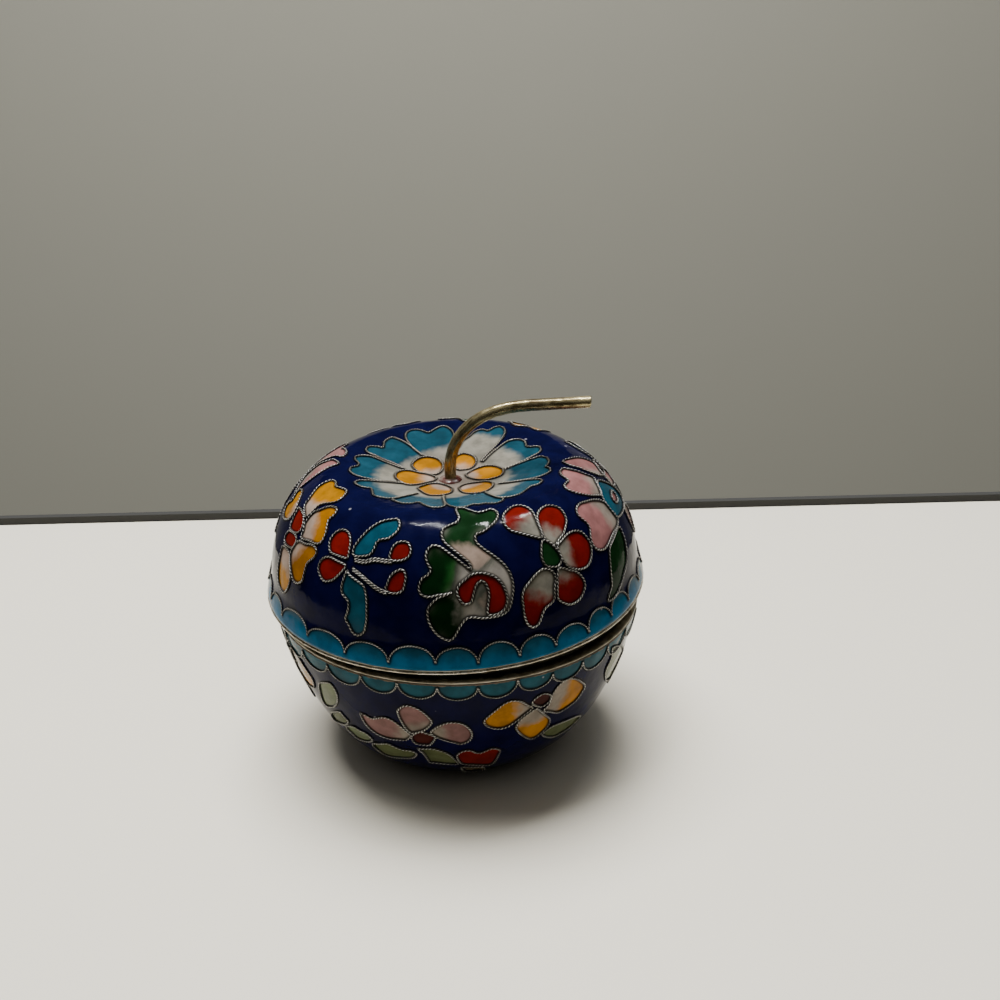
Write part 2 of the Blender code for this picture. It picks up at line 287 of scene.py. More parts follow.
def flat(skin, hub, azimuth, reach):
    """Places near hub as millimetres to the right and upwards on the unrolled surface."""
    radius = skin.radius_at(0.5 * (reach + hub[1]))
    return (azimuth - hub[0]) * radius, (reach - hub[1]) * skin.upward


def unflat(skin, hub, x, y):
    reach = hub[1] + y * skin.upward
    return hub[0] + x / skin.radius_at(0.5 * (reach + hub[1])), reach


def turned_flat(x, y, degrees):
    angle = math.radians(degrees)
    return x * math.cos(angle) - y * math.sin(angle), x * math.sin(angle) + y * math.cos(angle)


def petal(skin, hub, direction, start, length, width, notch=0.0):
    """Azimuth and reach round a petal that points in a direction, in degrees from the right."""
    t = np.linspace(0.0, 2 * np.pi, 40, endpoint=False)
    out = 0.5 * (1 - np.cos(t))
    x = start + (length - start) * out
    y = 0.5 * width * np.sign(np.sin(t)) * np.abs(np.sin(t)) ** 0.8 * (0.55 + 0.6 * out)
    x -= notch * np.exp(-(y / (0.13 * width)) ** 2) * smooth((out - 0.7) / 0.3)
    return unflat(skin, hub, *turned_flat(x, y, direction))


def leaf(skin, hub, direction, length, width):
    """Azimuth and reach round a leaf with its middle at hub, pointed at one end."""
    t = np.linspace(0.0, 2 * np.pi, 32, endpoint=False)
    x = 0.5 * length * np.cos(t)
    y = 0.5 * width * np.sign(np.sin(t)) * np.abs(np.sin(t)) ** 0.9 * (1 - 0.35 * np.cos(t))
    return unflat(skin, hub, *turned_flat(x, y, direction))


# Motifs that the photograph shows: the hub's pixel, then each cell's colour at the tip, its colour
# by the hub, where they meet, and its edge as pixels x, y one after another. Bare edges have no wire
LID_SEEN = {
    "lid_yellow_flower": ((298, 530), [
        ("yellow", "blush", 0.42, [
            305, 507, 309, 500, 319, 487, 331, 481, 336, 483, 336, 487, 345, 490, 346, 494, 337, 502,
            321, 505, 312, 513, 306, 517]),
        ("amber", "blush", 0.42, [
            314, 513, 321, 510, 330, 507, 337, 509, 335, 515, 329, 521, 326, 534, 322, 542, 317, 544,
            310, 541, 302, 538, 304, 531, 306, 523]),
        ("amber", "blush", 0.3, [
            300, 541, 306, 544, 313, 545, 317, 550, 315, 557, 308, 563, 305, 572, 303, 580, 299, 583,
            294, 580, 291, 566, 291, 556, 294, 547]),
        ("yellow", "blush", 0.5, [
            284, 546, 290, 553, 291, 567, 291, 578, 288, 589, 284, 592, 280, 584, 279, 571, 281, 556]),
        ("red", None, 0, [
            300, 508, 304, 515, 304, 523, 301, 531, 296, 533, 291, 529, 293, 521, 297, 513]),
        ("red", None, 0, [290, 531, 296, 535, 297, 541, 293, 548, 286, 544, 286, 537]),
    ]),
    "lid_sprig": ((350, 563), [
        ("red", None, 0, [
            348, 558, 342, 557, 332, 553, 330, 547, 331, 540, 336, 533, 343, 530, 349, 533, 351, 541,
            350, 550]),
        ("red", None, 0, [
            346, 566, 338, 561, 329, 557, 322, 560, 319, 568, 321, 576, 325, 581, 333, 580, 340, 574]),
        ("turquoise", None, 0, [
            355, 556, 354, 549, 359, 541, 365, 534, 373, 527, 382, 522, 392, 520, 398, 520, 400, 525,
            398, 531, 394, 535, 388, 539, 381, 540, 377, 543, 375, 548, 372, 553, 367, 556]),
        ("turquoise", None, 0, [
            348, 571, 350, 575, 358, 581, 364, 586, 366, 593, 367, 601, 367, 617, 366, 625, 364, 632,
            359, 635, 354, 633, 350, 626, 346, 618, 348, 612, 349, 606, 348, 600, 343, 594, 342, 588,
            343, 582, 346, 574]),
        ("red", None, 0, [
            390, 559, 391, 552, 395, 545, 401, 542, 408, 543, 411, 549, 410, 555, 406, 559, 400, 561,
            394, 561]),
        ("red", None, 0, [
            386, 590, 388, 583, 391, 576, 397, 571, 403, 570, 406, 576, 405, 584, 403, 590, 398, 593,
            391, 593]),
    ]),
    "lid_green_leaf": ((484, 598), [
        ("grey_white", None, 0, [
            456, 510, 463, 509, 470, 511, 477, 513, 484, 512, 491, 510, 497, 513, 497, 519, 491, 526,
            483, 532, 476, 535, 476, 542, 482, 548, 491, 554, 499, 560, 506, 567, 511, 576, 513, 587,
            512, 597, 510, 606, 506, 612, 498, 616, 483, 618, 472, 617, 466, 619, 461, 625, 457, 632,
            454, 637, 449, 640, 443, 638, 437, 634, 431, 626, 428, 617, 428, 609, 432, 603, 438, 598,
            446, 595, 452, 592, 447, 594, 438, 595, 428, 597, 421, 594, 419, 587, 422, 579, 428, 575,
            431, 570, 428, 564, 426, 557, 428, 550, 433, 546, 440, 547, 446, 551, 458, 560, 470, 569,
            469, 563, 457, 553, 446, 544, 442, 537, 443, 530, 449, 526, 456, 523, 459, 518]),
        ("green", "blush", 0.33, [
            456, 510, 463, 509, 477, 513, 491, 510, 497, 513, 497, 519, 491, 526, 476, 535, 476, 542,
            484, 549, 494, 557, 486, 566, 474, 572, 469, 563, 457, 553, 446, 544, 442, 537, 449, 526,
            457, 523, 459, 518], "bare"),
        ("dark_green", "light_green", 0.3, [
            433, 546, 426, 557, 428, 564, 431, 570, 422, 579, 419, 587, 421, 594, 428, 597, 438, 595,
            447, 594, 454, 591, 457, 583, 459, 573, 460, 562, 446, 551], "bare"),
        ("dark_green", "grey_white", 0.2, [
            452, 594, 438, 598, 428, 609, 428, 617, 431, 626, 437, 634, 449, 640, 454, 637, 460, 626,
            464, 615, 462, 602, 457, 596], "bare"),
        ("red", None, 0, [
            464, 604, 459, 598, 457, 591, 460, 584, 466, 579, 471, 575, 479, 573, 487, 574, 495, 577,
            502, 584, 506, 593, 507, 601, 504, 609, 497, 614, 488, 614, 488, 604, 489, 595, 487, 586,
            482, 581, 477, 584, 474, 592, 471, 602]),
        ("dark_grey", "blush", 0.45, [
            477, 611, 473, 602, 475, 592, 478, 585, 482, 582, 486, 586, 488, 595, 487, 604,
            486, 611], "bare"),
    ]),
    "lid_red_flower": ((550, 555), [
        ("red", "white", 0.5, [
            503, 516, 507, 511, 513, 507, 520, 506, 527, 508, 532, 512, 535, 518, 538, 525, 541, 532,
            541, 538, 534, 537, 526, 535, 518, 533, 511, 531, 506, 527, 503, 522]),
        ("red", "white", 0.36, [
            537, 516, 539, 511, 544, 507, 550, 506, 558, 508, 563, 513, 566, 520, 565, 527, 563, 534,
            559, 539, 555, 545, 550, 543, 544, 538, 541, 531, 538, 523]),
        ("red", "white", 0.3, [
            561, 541, 566, 535, 571, 532, 577, 531, 583, 534, 589, 542, 591, 552, 590, 560, 587, 566,
            581, 569, 575, 569, 568, 567, 563, 561, 559, 553, 557, 546]),
        ("red", "white", 0.3, [
            558, 569, 563, 568, 568, 570, 574, 571, 580, 575, 584, 582, 584, 588, 582, 594, 578, 600,
            571, 604, 564, 603, 558, 599, 557, 592, 557, 583, 557, 576]),
        ("red", "white", 0.45, [
            543, 569, 552, 571, 555, 578, 554, 588, 554, 598, 551, 603, 545, 608, 542, 614, 540, 620,
            537, 625, 532, 627, 527, 623, 524, 615, 523, 606, 522, 597, 524, 589, 529, 582, 535, 575]),
        ("green", None, 0, [
            542, 541, 548, 542, 554, 547, 559, 553, 561, 560, 558, 566, 552, 567, 546, 566, 542, 560,
            541, 553]),
    ]),
    "lid_pink_flower": ((611, 499), [
        ("pink", "beige", 0.3, [
            563, 462, 570, 459, 579, 458, 589, 461, 598, 467, 604, 473, 600, 476, 593, 474, 585, 471,
            578, 468, 570, 466]),
        ("pink", "beige", 0.35, [
            563, 469, 570, 470, 578, 472, 586, 475, 593, 478, 596, 484, 600, 491, 600, 495, 592, 496,
            584, 495, 575, 493, 567, 490, 564, 486, 568, 481, 563, 477, 560, 473]),
        ("pink", "beige", 0.3, [
            585, 502, 579, 504, 576, 509, 578, 516, 585, 522, 589, 528, 590, 538, 593, 546, 598, 550,
            604, 549, 608, 543, 612, 534, 617, 525, 616, 517, 610, 510, 603, 502, 594, 500]),
        ("turquoise", None, 0, [
            597, 481, 607, 483, 615, 489, 621, 498, 623, 507, 620, 515, 616, 517, 610, 510, 603, 500,
            599, 490]),
        ("pink", None, 0, [611, 491, 615, 495, 617, 501, 614, 502, 611, 497]),
    ]),
    "lid_right_leaf": ((616, 562), [
        ("green", None, 0, [
            618, 527, 613, 538, 609, 548, 609, 557, 610, 571, 611, 586, 608, 596, 608, 601, 615, 596,
            620, 585, 624, 571, 626, 559, 625, 545, 622, 534]),
    ]),
}
BOWL_SEEN = {
    "bowl_pink_flower": ((424, 736), [
        ("dusty_pink", "beige", 0.3, [
            361, 713, 367, 715, 373, 718, 380, 717, 386, 717, 393, 720, 401, 726, 407, 731, 411, 735,
            407, 739, 399, 739, 390, 738, 381, 735, 373, 730, 366, 723]),
        ("dusty_pink", "beige", 0.35, [
            398, 712, 401, 707, 406, 705, 413, 706, 421, 710, 428, 716, 432, 721, 430, 725, 425, 729,
            419, 731, 412, 732, 405, 726]),
        ("dusty_pink", "beige", 0.3, [
            431, 732, 436, 727, 442, 724, 449, 722, 457, 722, 464, 724, 470, 729, 472, 735, 469, 740,
            462, 743, 455, 742, 447, 740, 438, 737]),
        ("maroon", None, 0, [
            412, 736, 415, 733, 421, 731, 428, 733, 435, 736, 434, 740, 430, 744, 424, 744, 417, 743,
            413, 740]),
    ]),
    "bowl_leaf_row": ((400, 750), [
        ("pale_olive", None, 0, [
            347, 726, 354, 726, 361, 730, 367, 733, 373, 739, 368, 741, 359, 738, 352, 732]),
        ("olive", None, 0, [
            373, 743, 380, 743, 388, 743, 395, 746, 403, 749, 411, 750, 417, 753, 413, 757, 402, 757,
            392, 756, 384, 753, 377, 748]),
        ("olive", None, 0, [
            418, 748, 424, 748, 433, 748, 440, 750, 448, 753, 454, 758, 458, 763, 447, 763, 438, 762,
            430, 761, 427, 757, 423, 752]),
    ]),
    "bowl_pale_leaf": ((331, 706), [
        ("pale_olive", None, 0, [
            320, 683, 326, 682, 331, 683, 335, 688, 338, 695, 338, 702, 335, 706, 329, 706, 324, 701,
            321, 692]),
        ("olive", None, 0, [332, 712, 340, 711, 344, 715, 349, 721, 346, 724, 339, 722, 334, 718]),
    ]),
    "bowl_red_bud": ((462, 760), [
        ("red", None, 0, [
            457, 755, 460, 752, 465, 750, 471, 750, 476, 752, 481, 752, 486, 750, 491, 748, 496, 748,
            500, 750, 498, 755, 495, 760, 489, 764, 476, 764, 463, 763, 459, 760]),
        ("tan", None, 0, [462, 766, 474, 766, 484, 766, 483, 770, 473, 771, 464, 770]),
    ]),
    "bowl_yellow_flower": ((540, 702), [
        ("dull_orange", "beige", 0.3, [
            484, 721, 488, 716, 494, 711, 500, 706, 506, 702, 513, 700, 521, 701, 528, 705, 532, 707,
            524, 714, 515, 721, 507, 726, 498, 728, 488, 726]),
        ("dull_orange", "beige", 0.45, [
            543, 710, 549, 703, 552, 694, 558, 685, 566, 679, 573, 678, 579, 680, 584, 685, 581, 692,
            575, 700, 566, 707, 557, 712, 549, 711]),
        ("dull_orange", "beige", 0.4, [
            537, 708, 543, 713, 549, 718, 548, 724, 543, 730, 536, 736, 529, 738, 521, 734, 516, 728,
            518, 722, 524, 716, 531, 711]),
        ("maroon", None, 0, [532, 703, 536, 697, 543, 693, 550, 694, 550, 699, 546, 703, 540, 706]),
    ]),
    "bowl_third_leaf": ((560, 725), [
        ("olive", None, 0, [
            542, 733, 551, 726, 563, 721, 579, 715, 573, 723, 564, 730, 553, 736, 545, 736]),
    ]),
}

# The leaf at the bowl's right edge, which takes the place of two petals
BOWL_EDGE_LEAF = [
    612, 647, 621, 646, 622, 651, 617, 664, 610, 677, 605, 680, 605, 670, 611, 656]

# Open stems of the sprig, as pixels, and how many pixels above and below them their two wires run
SPRIG_WIRE_SHIFT = 1.2
SPRIG_STEMS = [
    [355, 560, 365, 562, 374, 560, 383, 561, 392, 562],
    [353, 569, 362, 576, 370, 583, 378, 589, 387, 593],
]

# Motifs on the sides that the photograph hides, copied from the ones it shows: new name, motif,
# azimuth and reach of the hub, and the numbers of the cells that are left out where it is crowded
LID_COPIES = [
    ("lid_back_sprig", "lid_sprig", 100, 15.7, (0, 1)),
    ("lid_back_yellow_flower", "lid_yellow_flower", 140, 16.2, (0,)),
    ("lid_back_leaf", "lid_green_leaf", 174, 10.5, ()),
    ("lid_back_red_flower", "lid_red_flower", 205, 15.6, ()),
    ("lid_left_leaf", "lid_right_leaf", 227, 10.8, ()),
    ("lid_left_pink_flower", "lid_pink_flower", 254, 17.2, (1,)),
]
BOWL_COPIES = [
    ("bowl_right_pink_flower", "bowl_pink_flower", 72, 12.4, (0, 1)),
    ("bowl_right_yellow_flower", "bowl_yellow_flower", 112, 6.4, ()),
    ("bowl_back_pink_flower", "bowl_pink_flower", 162, 12.4, ()),
    ("bowl_back_yellow_flower", "bowl_yellow_flower", 200, 6.4, ()),
    ("bowl_left_pink_flower", "bowl_pink_flower", 251, 12.4, ()),
    ("bowl_left_yellow_flower", "bowl_yellow_flower", 289, 6.4, ()),
]

# Leaves and buds of the hidden side: name, colour, azimuth, reach, length, width and direction
BOWL_HIDDEN_LEAVES = [
    ("bowl_right_leaf", "olive", 92, 18.0, 8.0, 3.8, 10),
    ("bowl_back_leaf", "olive", 134, 13.0, 9.0, 3.8, 80),
    ("bowl_back_bud", "red", 181, 18.8, 7.6, 4.0, 0),
    ("bowl_left_leaf", "olive", 223, 14.0, 9.0, 3.6, 80),
    ("bowl_left_bud", "red", 269, 18.6, 7.6, 4.0, 0),
]

# Petals that the camera can't see: motif, colours at the tip and by the hub, direction in degrees,
# start, length, width and notch
LID_HIDDEN_PETALS = [
    ("lid_yellow_flower", "yellow", "blush", 172, 4.6, 10.8, 6.0, 1.4),
    ("lid_pink_flower", "pink", "beige", 8, 5.2, 11.6, 5.6, 1.2),
    ("lid_pink_flower", "pink", "beige", -52, 4.4, 10.8, 5.2, 1.2),
]

# The flower in the dish: open lines round its ten petals and closed ones round its six ovals, as pixels
DISH_PETALS = [
    [
        426, 457, 417, 452, 410, 445, 406, 439, 406, 434, 410, 431, 416, 430, 422, 431, 428, 433, 434, 430,
        440, 427, 446, 427, 451, 430, 454, 435, 455, 441, 452, 448],
    [
        459, 447, 463, 441, 469, 437, 475, 432, 482, 430, 488, 431, 494, 428, 500, 427, 504, 429, 505, 433,
        502, 439, 497, 445, 491, 451, 485, 457, 481, 462],
    [
        483, 462, 489, 456, 496, 450, 501, 446, 507, 442, 514, 440, 520, 440, 525, 442, 527, 447, 533, 447,
        539, 447, 541, 450, 539, 453, 532, 457, 524, 461, 515, 465, 505, 469],
    [
        505, 470, 514, 466, 524, 462, 533, 459, 540, 457, 546, 458, 549, 461, 548, 465, 546, 467, 550, 469,
        550, 472, 545, 475, 537, 478, 527, 480, 516, 482, 503, 483],
    [
        499, 484, 510, 483, 522, 481, 533, 480, 540, 480, 542, 482, 538, 485, 531, 487, 527, 490, 521, 494,
        513, 497, 505, 498, 497, 498, 490, 495, 485, 492],
    [
        485, 493, 491, 496, 498, 498, 503, 499, 501, 502, 494, 504, 485, 504, 479, 505, 473, 505, 467, 507,
        459, 508, 451, 507, 446, 504, 444, 500, 444, 496],
    [
        443, 497, 444, 502, 445, 506, 440, 508, 432, 508, 425, 506, 419, 503, 411, 504, 403, 504, 396, 502,
        392, 500, 399, 498, 408, 496, 418, 494],
    [
        417, 494, 408, 496, 398, 498, 389, 499, 381, 498, 374, 496, 372, 492, 371, 489, 364, 488, 358, 486,
        355, 483, 359, 481, 368, 481, 380, 482, 392, 483, 404, 484],
    [
        403, 483, 391, 482, 379, 481, 367, 479, 356, 476, 350, 472, 351, 468, 358, 466, 358, 463, 355, 460,
        356, 457, 363, 456, 372, 457, 382, 461, 392, 465, 403, 469],
    [
        404, 469, 394, 464, 384, 460, 375, 456, 368, 453, 366, 450, 369, 447, 377, 447, 383, 448, 384, 443,
        387, 440, 392, 438, 399, 440, 407, 444, 415, 450, 422, 456],
]
DISH_OVALS = [
    [
        412, 466, 415, 461, 421, 458, 429, 457, 437, 459, 442, 463, 443, 468, 440, 473, 434, 475, 426, 474,
        418, 472],
    [
        395, 477, 397, 473, 402, 471, 410, 471, 419, 473, 429, 475, 436, 478, 434, 481, 426, 483, 416, 485,
        407, 485, 400, 482],
    [
        418, 489, 423, 486, 431, 484, 439, 484, 447, 486, 452, 489, 451, 493, 445, 495, 436, 496, 427, 495],
    [
        459, 489, 462, 486, 469, 484, 477, 483, 486, 482, 492, 483, 493, 486, 489, 490, 481, 493, 471, 494,
        463, 493],
    [
        466, 475, 472, 471, 479, 468, 488, 466, 497, 467, 503, 470, 502, 475, 496, 478, 487, 480, 477, 480,
        469, 478],
    [
        454, 460, 457, 456, 463, 454, 470, 455, 475, 458, 476, 463, 472, 468, 465, 470, 458, 470, 454, 466],
]
DISH_HEART_RADIUS = 11.5
PETAL_ROOT_RADIUS = 7.0
PETAL_HUB_RADIUS = 8.0
OVAL_HUB_RADIUS = 3.0

# Where the arches of the borders meet, in degrees from the front, as far as the photograph shows them
LID_VALLEYS = (-61.5, -47.0, -32.5, -19.0, -6.0, 5.5, 17.0, 28.0, 39.5, 50.0, 60.5, 72.0)
BOWL_VALLEYS = (-54.0, -42.0, -29.5, -18.0, -6.5, 5.0, 16.5, 27.5, 38.5, 50.0, 62.0)


def seat_matrix():
    tilt = Euler((math.radians(LID_TILT_FORWARD), math.radians(-LID_TILT_LEFT), 0.0)).to_matrix().to_4x4()
    return Matrix.Translation((-LID_SHIFT_LEFT, 0.0, BOWL_HEIGHT + LID_LIFT)) @ tilt


LID = Skin(lid_outline(), 1, seat_matrix())
BOWL = Skin(bowl_outline(), -1, Matrix.Identity(4))


def pairs(numbers):
    return np.array(numbers, float).reshape(-1, 2)


def seen_motifs(skin, table):
    """Each motif's cells, laid on the surface from their edges' pixels."""
    motifs = {}
    for name, (hub_pixel, cells) in table.items():
        azimuth, reach = skin.seen_at(pairs(hub_pixel))
        hub = (azimuth[0], reach[0])
        made = []
        for far, near, share, edge, *bare in cells:
            azimuths, reaches = skin.seen_at(rounded(pairs(edge)))
            made.append(Cell(azimuths, reaches, hub, far, near, share, not bare))
        motifs[name] = made
    return motifs


def copy_motifs(skin, motifs, table):
    """Adds copies of motifs with their hubs at other places."""
    for name, source, azimuth, reach, left_out in table:
        hub = (math.radians(azimuth), reach)
        motifs[name] = [cell.moved(skin, hub) for i, cell in enumerate(motifs[source]) if i not in left_out]


def lid_motifs():
    motifs = seen_motifs(LID, LID_SEEN)
    for name, far, near, direction, start, length, width, notch in LID_HIDDEN_PETALS:
        hub = motifs[name][0].hub
        edge = petal(LID, hub, direction, start, length, width, notch)
        motifs[name].insert(0, Cell(*edge, hub, far, near))
    copy_motifs(LID, motifs, LID_COPIES)
    return motifs


def bowl_motifs():
    motifs = seen_motifs(BOWL, BOWL_SEEN)
    copy_motifs(BOWL, motifs, BOWL_COPIES)
    edge_motif = motifs["bowl_right_pink_flower"]
    edge_motif.append(Cell(*BOWL.seen_at(rounded(pairs(BOWL_EDGE_LEAF))), edge_motif[0].hub, "pale_olive"))
    for name, glaze, azimuth, reach, length, width, direction in BOWL_HIDDEN_LEAVES:
        hub = (math.radians(azimuth), reach)
        edge = leaf(BOWL, hub, direction, length, width)
        motifs[name] = [Cell(*edge, hub, glaze)]
    return motifs


def valleys(seen):
    """All the azimuths where arches meet, evenly spaced where the photograph doesn't show them."""
    hidden = SCALLOPS + 1 - len(seen)
    step = (seen[0] + 360 - seen[-1]) / hidden
    rest = [seen[-1] + step * (i + 1) + CHANCE.uniform(-0.6, 0.6) for i in range(hidden - 1)]
    return [math.radians(a) for a in list(seen) + rest]


def scallops(seen, valley, crest, far, near):
    """A row of arches along the edge: the open lines over them, and the cells under them."""
    edges = valleys(seen)
    edges.append(edges[0] + 2 * math.pi)
    depths = [valley + CHANCE.uniform(-0.35, 0.35) for _ in edges]
    depths[-1] = depths[0]
    lines, cells = [], []
    t = np.linspace(0.0, np.pi, 26)
    for i in range(SCALLOPS):
        left, right = edges[i], edges[i + 1]
        middle, half = 0.5 * (left + right), 0.5 * (right - left)
        top = crest + CHANCE.uniform(-0.25, 0.25)
        base = depths[i] + (depths[i + 1] - depths[i]) * 0.5 * (1 - np.cos(t))
        reach = base + (top - base) * np.sin(t) ** 0.95
        azimuth = middle - (half - 0.002) * np.cos(t)
        lines.append((azimuth, reach))
        azimuth = np.concatenate([[left, left], azimuth, [right, right]])
        reach = np.concatenate([[-1.0, depths[i]], reach, [depths[i + 1], -1.0]])
        cells.append(Cell(azimuth, reach, (middle, -1.0), far, near, 0.62))
    return lines, cells


def dish_cells():
    """Cells of the flower in the dish, its heart first, and the lines round them."""
    turn = np.linspace(-math.pi, math.pi, 60)
    azimuth = np.concatenate([turn, turn[::-1]])
    edge = LID.dish_reach(DISH_HEART_RADIUS)
    reach = np.concatenate([np.full(60, edge), np.full(60, LID.reach[-1] + 1)])
    cells = [Cell(azimuth, reach, (0.0, LID.reach[-1]), "heart", "heart")]
    lines = []
    for pixels in DISH_PETALS:
        azimuth, reach = LID.seen_at(rounded(pairs(pixels), closed=False))
        azimuth = np.unwrap(azimuth)
        lines.append((azimuth, reach, False))
        middle = 0.5 * (azimuth[0] + azimuth[-1])
        hub = (middle, LID.dish_reach(PETAL_HUB_RADIUS))
        azimuth = np.append(azimuth, [azimuth[-1], azimuth[0]])
        reach = np.append(reach, [LID.dish_reach(PETAL_ROOT_RADIUS)] * 2)
        cells.append(Cell(azimuth, reach, hub, "sky", "white", CHANCE.uniform(0.2, 0.72)))
    for pixels in DISH_OVALS:
        azimuth, reach = LID.seen_at(rounded(pairs(pixels)))
        azimuth = np.unwrap(azimuth)
        lines.append((azimuth, reach, True))
        hub = (0.5 * (azimuth.min() + azimuth.max()), LID.dish_reach(OVAL_HUB_RADIUS))
        cells.append(Cell(azimuth, reach, hub, "orange", "blush", 0.3))
    return lines, cells


# Meshes


def make_piece(name, points, faces, material, values=None):
    """A mesh from points, in millimetres in the box's frame, and arrays of faces."""
    corners = np.concatenate([f.reshape(-1) for f in faces]).astype(np.int32)
    sizes = np.concatenate([np.full(len(f), f.shape[1]) for f in faces])
    mesh = bpy.data.meshes.new(name)
    mesh.vertices.add(len(points))
    mesh.vertices.foreach_set("co", (np.asarray(points) * MM).astype(np.float32).ravel())
    mesh.loops.add(len(corners))
    mesh.loops.foreach_set("vertex_index", corners)
    mesh.polygons.add(len(sizes))
    mesh.polygons.foreach_set("loop_start", (np.cumsum(sizes) - sizes).astype(np.int32))
    mesh.polygons.foreach_set("use_smooth", np.ones(len(sizes), bool))
    for key, data in (values or {}).items():
        data = np.asarray(data, np.float32)
        if data.ndim == 1:
            mesh.attributes.new(key, "FLOAT", "POINT").data.foreach_set("value", data)
        else:
            rgba = np.concatenate([data, np.ones((len(data), 1), np.float32)], 1)
            mesh.attributes.new(key, "FLOAT_COLOR", "POINT").data.foreach_set("color", rgba.ravel())
    mesh.update(calc_edges=True)
    mesh.validate()
    mesh.materials.append(material)
    piece = bpy.data.objects.new(name, mesh)
    bpy.context.scene.collection.objects.link(piece)
    return piece


def declare(piece, slot, *nodes):
    """Says which body a piece moves with and the solids it stands for. The slot is not used."""
    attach(piece, "root")
    if nodes:
        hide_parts(*nodes)


def seated(skin, points):
    """Points of one half in the box's frame."""
    matrix = np.array(skin.seat)
    return points @ matrix[:3, :3].T + matrix[:3, 3]


def grid_faces(rows, columns, flip, first=0):
    """Four-cornered faces of a grid that closes on itself along its rows."""
    row, column = np.meshgrid(np.arange(rows - 1), np.arange(columns), indexing="ij")
    beside = (column + 1) % columns
    a, b = row * columns + column, row * columns + beside
    faces = np.stack([a, b, b + columns, a + columns], -1).reshape(-1, 4) + first
    return faces[:, ::-1] if flip else faces


def fan_faces(first, columns, tip, flip):
    """Triangles from a ring to one point."""
    column = np.arange(columns)
    faces = np.stack([first + column, first + (column + 1) % columns, np.full(columns, tip)], -1)
    return faces[:, ::-1] if flip else faces


def bridge_faces(fine, fine_count, coarse, coarse_count, flip):
    """Triangles between two rings whose counts differ by a whole factor."""
    factor = fine_count // coarse_count
    faces = []
    for i in range(coarse_count):
        beside = coarse + (i + 1) % coarse_count
        for j in range(factor):
            a = fine + (i * factor + j) % fine_count
            b = fine + (i * factor + j + 1) % fine_count
            faces.append((b, a, coarse + i if j < factor // 2 else beside))
        faces.append((coarse + i, beside, fine + i * factor + factor // 2))
    faces = np.array(faces)
    return faces[:, ::-1] if flip else faces


def distance_along(line):
    return np.concatenate([[0.0], np.cumsum(np.linalg.norm(np.diff(line, axis=0), axis=1))])


def places_at(at, gone, line):
    """Places on a line at these distances along it."""
    return np.stack([np.interp(at, gone, line[:, k]) for k in range(3)], -1)


def crosswise(spot, up, closed):
    """Directions to the side of a line and away from the surface, at each of its places."""
    ahead = np.roll(spot, -1, 0) - np.roll(spot, 1, 0)
    if not closed:
        ahead[0], ahead[-1] = spot[1] - spot[0], spot[-1] - spot[-2]
    ahead /= np.linalg.norm(ahead, axis=1, keepdims=True) + 1e-9
    side = np.cross(ahead, up)
    side /= np.linalg.norm(side, axis=1, keepdims=True) + 1e-9
    return side, np.cross(side, ahead)


def tube_faces(count, closed, first):
    """Faces round a line of rings, with flat ends where it doesn't close."""
    rows = np.arange(count if closed else count - 1)[:, None]
    here, beyond = rows * STRAND_SIDES, (rows + 1) % count * STRAND_SIDES
    j = np.arange(STRAND_SIDES)[None, :]
    beside = (j + 1) % STRAND_SIDES
    quads = np.stack([here + j, beyond + j, beyond + beside, here + beside], -1)
    faces = [quads.reshape(-1, 4) + first]
    if not closed:
        for corners in ((0, 1, 2, 3), (0, 3, 4, 7), (4, 5, 6, 7)):
            end = np.array(corners)
            faces.append((end + first)[None, :])
            faces.append((end[::-1] + first + (count - 1) * STRAND_SIDES)[None, :])
    return faces


def twisted(paths, bead):
    """Points, faces and painted light of twisted pairs of strands: painted highlight on each bead's crest,
    painted shade in the grooves between beads and on the side towards the enamel. Each path is points, the
    surface's normals there, and whether it closes."""
    points, faces, bead_lights_and_shades = [], [], []
    size = STRAND_THICKNESS * bead
    first = 0
    around = np.arange(STRAND_SIDES) * 2 * np.pi / STRAND_SIDES
    for line, normals, closed in paths:
        if closed:
            line, normals = np.vstack([line, line[:1]]), np.vstack([normals, normals[:1]])
        gone = distance_along(line)
        beads = max(2, round(gone[-1] / bead))
        count = beads * STEPS_PER_BEAD + (0 if closed else 1)
        at = gone[-1] * np.arange(count) / (beads * STEPS_PER_BEAD)
        spot = places_at(at, gone, line)
        side, up = crosswise(spot, places_at(at, gone, normals), closed)
        wave = np.cos(2 * (around[None, :] - np.pi * (at / gone[-1] * beads)[:, None]))
        thick = (size * (1 + 0.5 * wave))[..., None]
        ring = spot[:, None] + thick * (np.cos(around)[None, :, None] * side[:, None]
                                       + np.sin(around)[None, :, None] * up[:, None])
        points.append(ring.reshape(-1, 3))
        # Painted light: bright on the side away from the enamel and on each bead's crest, painted shade
        # underneath and in the grooves.
        painted_top_light = smooth((np.sin(around) + 0.25) / 0.9)
        bead_lights_and_shades.append((painted_top_light * (0.5 + 0.5 * wave)).reshape(-1))
        faces += tube_faces(count, closed, first)
        first += len(points[-1])
    return np.concatenate(points), faces, np.concatenate(bead_lights_and_shades)


def within(x, y, px, py):
    """Which places px, py lie inside the closed edge x, y, by how often it passes them."""
    inside = np.zeros(len(px), bool)
    for x0, y0, x1, y1 in zip(x, y, np.roll(x, -1), np.roll(y, -1)):
        if y0 != y1:
            crosses = (y0 > py) != (y1 > py)
            inside ^= crosses & (px < x0 + (py - y0) * (x1 - x0) / (y1 - y0))
    return inside


def past_meeting(skin, hub, share, edge, places):
    """How far places in a cell are past the line where its two colours meet."""
    ex, ey = flat(skin, hub, *edge)
    middle = np.array([ex.mean(), ey.mean()])
    axis = middle / (np.linalg.norm(middle) + 1e-9)
    along = ex * axis[0] + ey * axis[1]
    vx, vy = flat(skin, hub, *places)
    return vx * axis[0] + vy * axis[1] - (along.min() + share * (along.max() - along.min()))


